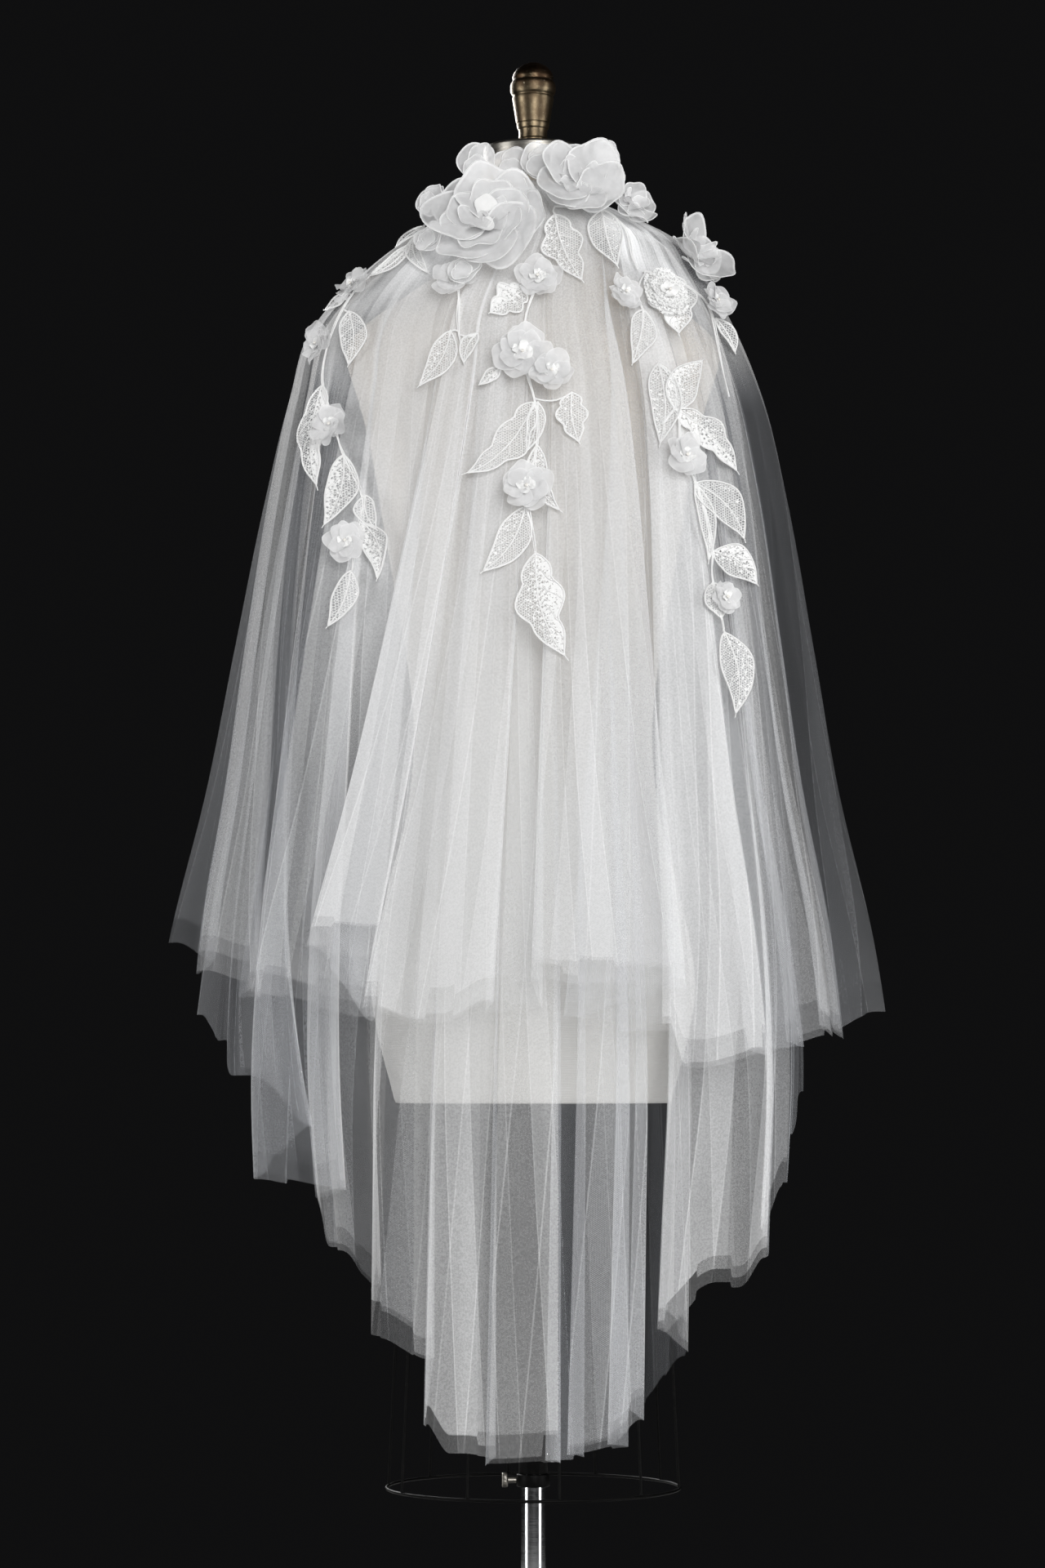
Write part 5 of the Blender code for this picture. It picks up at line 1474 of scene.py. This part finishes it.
# %% Loose petals at the crown
# Columns: name, where its base is, the way it faces, radius.
CROWN_PETALS = [
    ("crown_petal_1", (-57, -80, 1572), (-0.30, -0.90, 0.10), 21),
    ("crown_petal_2", (-104, -92, 1530), (-0.55, -0.75, 0.35), 18),
    ("crown_petal_3", (6, -86, 1572), (0.05, -0.95, 0.15), 19),
    ("crown_petal_4", (-105, -117, 1486), (-0.50, -0.75, 0.42), 18),
    ("crown_petal_5", (-70, -143, 1448), (-0.20, -0.85, 0.48), 17),
    ("crown_petal_6", (-22, -72, 1570), (-0.10, -0.95, 0.12), 20),
    ("crown_petal_7", (25, -70, 1580), (0.16, -0.95, 0.12), 15),
    ("crown_petal_8", (70, -55, 1583), (0.55, -0.80, 0.16), 20),
]
# Columns of its layers, as shares of the radius: size, how far to the side.
CROWN_LAYERS = [(1.0, 0.0), (0.72, 0.25), (0.62, -0.35)]
CROWN_GAP = 2.5 * MM  # from one layer to the next


def crown_petal(name, base, axis, radius, chance):
    """One loose petal and two smaller ones over it, each a little to its side."""
    piece = Piece(name + "_organza", organza)
    for k, (size, aside) in enumerate(CROWN_LAYERS):
        points, rim = petal_disc(radius * MM * size, 0.0, 0.22, 0.14, chance.random(5))
        points[..., 0] += radius * MM * aside
        points[..., 2] += CROWN_GAP * k
        add_petal(piece, np.array(base) * MM, facing(axis, 40 * k), points, rim, ORGANZA, True)
    made = piece.make()
    soften(made, unit(np.array(axis)), PETAL_SCATTER)
    return seat(made, "form", "organza", name)


loose = [crown_petal(*row, chance) for row in CROWN_PETALS]

# %% [markdown]
# The gathers are bound in a narrow band round the nape, which the roses hide. It could be a strip with
# Solidify, but an oval carried along an arc has no sharp edge to catch the light.

# %% The gathering band
BAND_TURN = 100  # degrees to each side of the back's middle
BAND_MIDDLE = (62.7, 1548)  # radius and height, in millimetres
BAND_HALF = (0.9, 3.5)  # half its thickness and half its width


def gather_band():
    """A narrow binding round the nape: an upright oval carried along an arc, closed at both ends."""
    turns = np.radians(np.linspace(-BAND_TURN, BAND_TURN, 121))
    across = np.linspace(0, 2 * np.pi, 17)[:, None]
    radius = (BAND_MIDDLE[0] + BAND_HALF[0] * np.cos(across)) * MM
    height = (BAND_MIDDLE[1] + BAND_HALF[1] * np.sin(across)) * MM + 0 * turns
    grid = np.stack([radius * np.sin(turns), -radius * np.cos(turns), height], -1)
    piece = Piece("gather_band_satin", satin)
    piece.add(grid)
    for end, side in ((0, -1), (-1, 1)):
        edge = grid[:, end]
        cap = np.stack([edge, np.repeat(edge.mean(0)[None], len(edge), 0)])
        piece.add(cap, out=(side, 0, 0))
    return seat(piece.make(), "form", "organza", "gather_band")


band = gather_band()

# %% [markdown]
# Before it was gathered, each tier was a flat piece of tulle. Its width is the length of its hem along
# the folds, and its length is from the gathers to the lowest tip. The area is that of a piece cut as a
# fan, narrower at the top, because the small pleats are shown by cover and not as cloth.

# %% [markdown]
# White net shows best against the dark, so the world is nearly black. A picture of a studio round the
# scene could light it, but lamps can be set one by one. A large soft one stands before the veil and a
# little to the right, a tall one at each side, and one lights the form's chest. The floor is a pale disc
# under the stand.

# %% Floor and light
FLOOR_RADIUS = 1.0
FLOOR_DROP = 0.4 * MM  # under the base, so that the two don't share a plane
BACKDROP = 0.005
# Columns: name, where it stands, where it looks, width, height, power.
LIGHTS = [
    ("main_light", (0.8, -3.9, 1.9), (0, 0, 1.15), 2.0, 2.0, 124),
    ("left_light", (-3.1, -1.3, 1.05), (0, 0, 1.05), 1.1, 3.2, 56),
    ("right_light", (3.1, -1.3, 1.05), (0, 0, 1.05), 1.1, 3.2, 48),
    ("chest_light", (-1.6, 3.2, 2.2), (0, 0, 1.1), 1.8, 1.8, 110),
]


def floor_disc():
    """A flat disc: radius times sine and cosine of the turn."""
    radius = np.linspace(0, FLOOR_RADIUS, 24)[:, None]
    turns = np.linspace(0, 2 * np.pi, 97)
    grid = np.stack([radius * np.sin(turns), radius * np.cos(turns), 0 * radius * turns - FLOOR_DROP], -1)
    finish = Finish("pale_floor", Roughness=0.8)
    shade = finish.grain(finish.place(), 6.0, 4.0).between(0.3, 0.7, 0.0, 1.0)
    finish.feed(Base_Color=finish.blend(shade, (0.62, 0.61, 0.59, 1), (0.68, 0.67, 0.65, 1)))
    piece = Piece("floor", finish)
    piece.add(grid, out=(0, 0, 1))
    piece.make()


def soft_light(name, place, target, width, height, power):
    """An area light at place that looks at target."""
    lamp = bpy.data.lights.new(name, "AREA")
    lamp.shape = "RECTANGLE"
    lamp.size = width
    lamp.size_y = height
    lamp.energy = power
    light = bpy.data.objects.new(name, lamp)
    light.location = place
    light.rotation_euler = (Vector(target) - Vector(place)).to_track_quat("-Z", "Y").to_euler()
    bpy.context.scene.collection.objects.link(light)


floor_disc()
for row in LIGHTS:
    soft_light(*row)
world = bpy.data.worlds.new("dark_backdrop")
world.use_nodes = True
backdrop = (BACKDROP, BACKDROP, BACKDROP * 1.05, 1)
world.node_tree.nodes["Background"].inputs["Color"].default_value = backdrop
scene = bpy.context.scene
scene.world = world
scene.view_settings.view_transform = "Standard"
scene.cycles.transparent_max_bounces = 64
print("lights:", len(LIGHTS), "with", sum(row[-1] for row in LIGHTS), "W together")

# %% [markdown]
# The camera stands at the height of the short tier's hem and looks a little up, as it did for the
# picture. A near camera could frame the same, but a long lens from far off keeps the hem's sweep as flat
# as it is there.

# %% Camera
CAMERA_PLACE = (-0.01105, -4.5, 0.637)
CAMERA_TILT = 3.778  # degrees up
LENS = 99.48
SENSOR = 36.0
lens = bpy.data.cameras.new("camera")
lens.lens = LENS
lens.sensor_width = SENSOR
lens.clip_end = 50
camera = bpy.data.objects.new("camera", lens)
camera.location = CAMERA_PLACE
camera.rotation_euler = (math.radians(90 + CAMERA_TILT), 0, 0)
scene.collection.objects.link(camera)
scene.camera = camera
print("camera:", LENS, "mm lens at", CAMERA_PLACE)
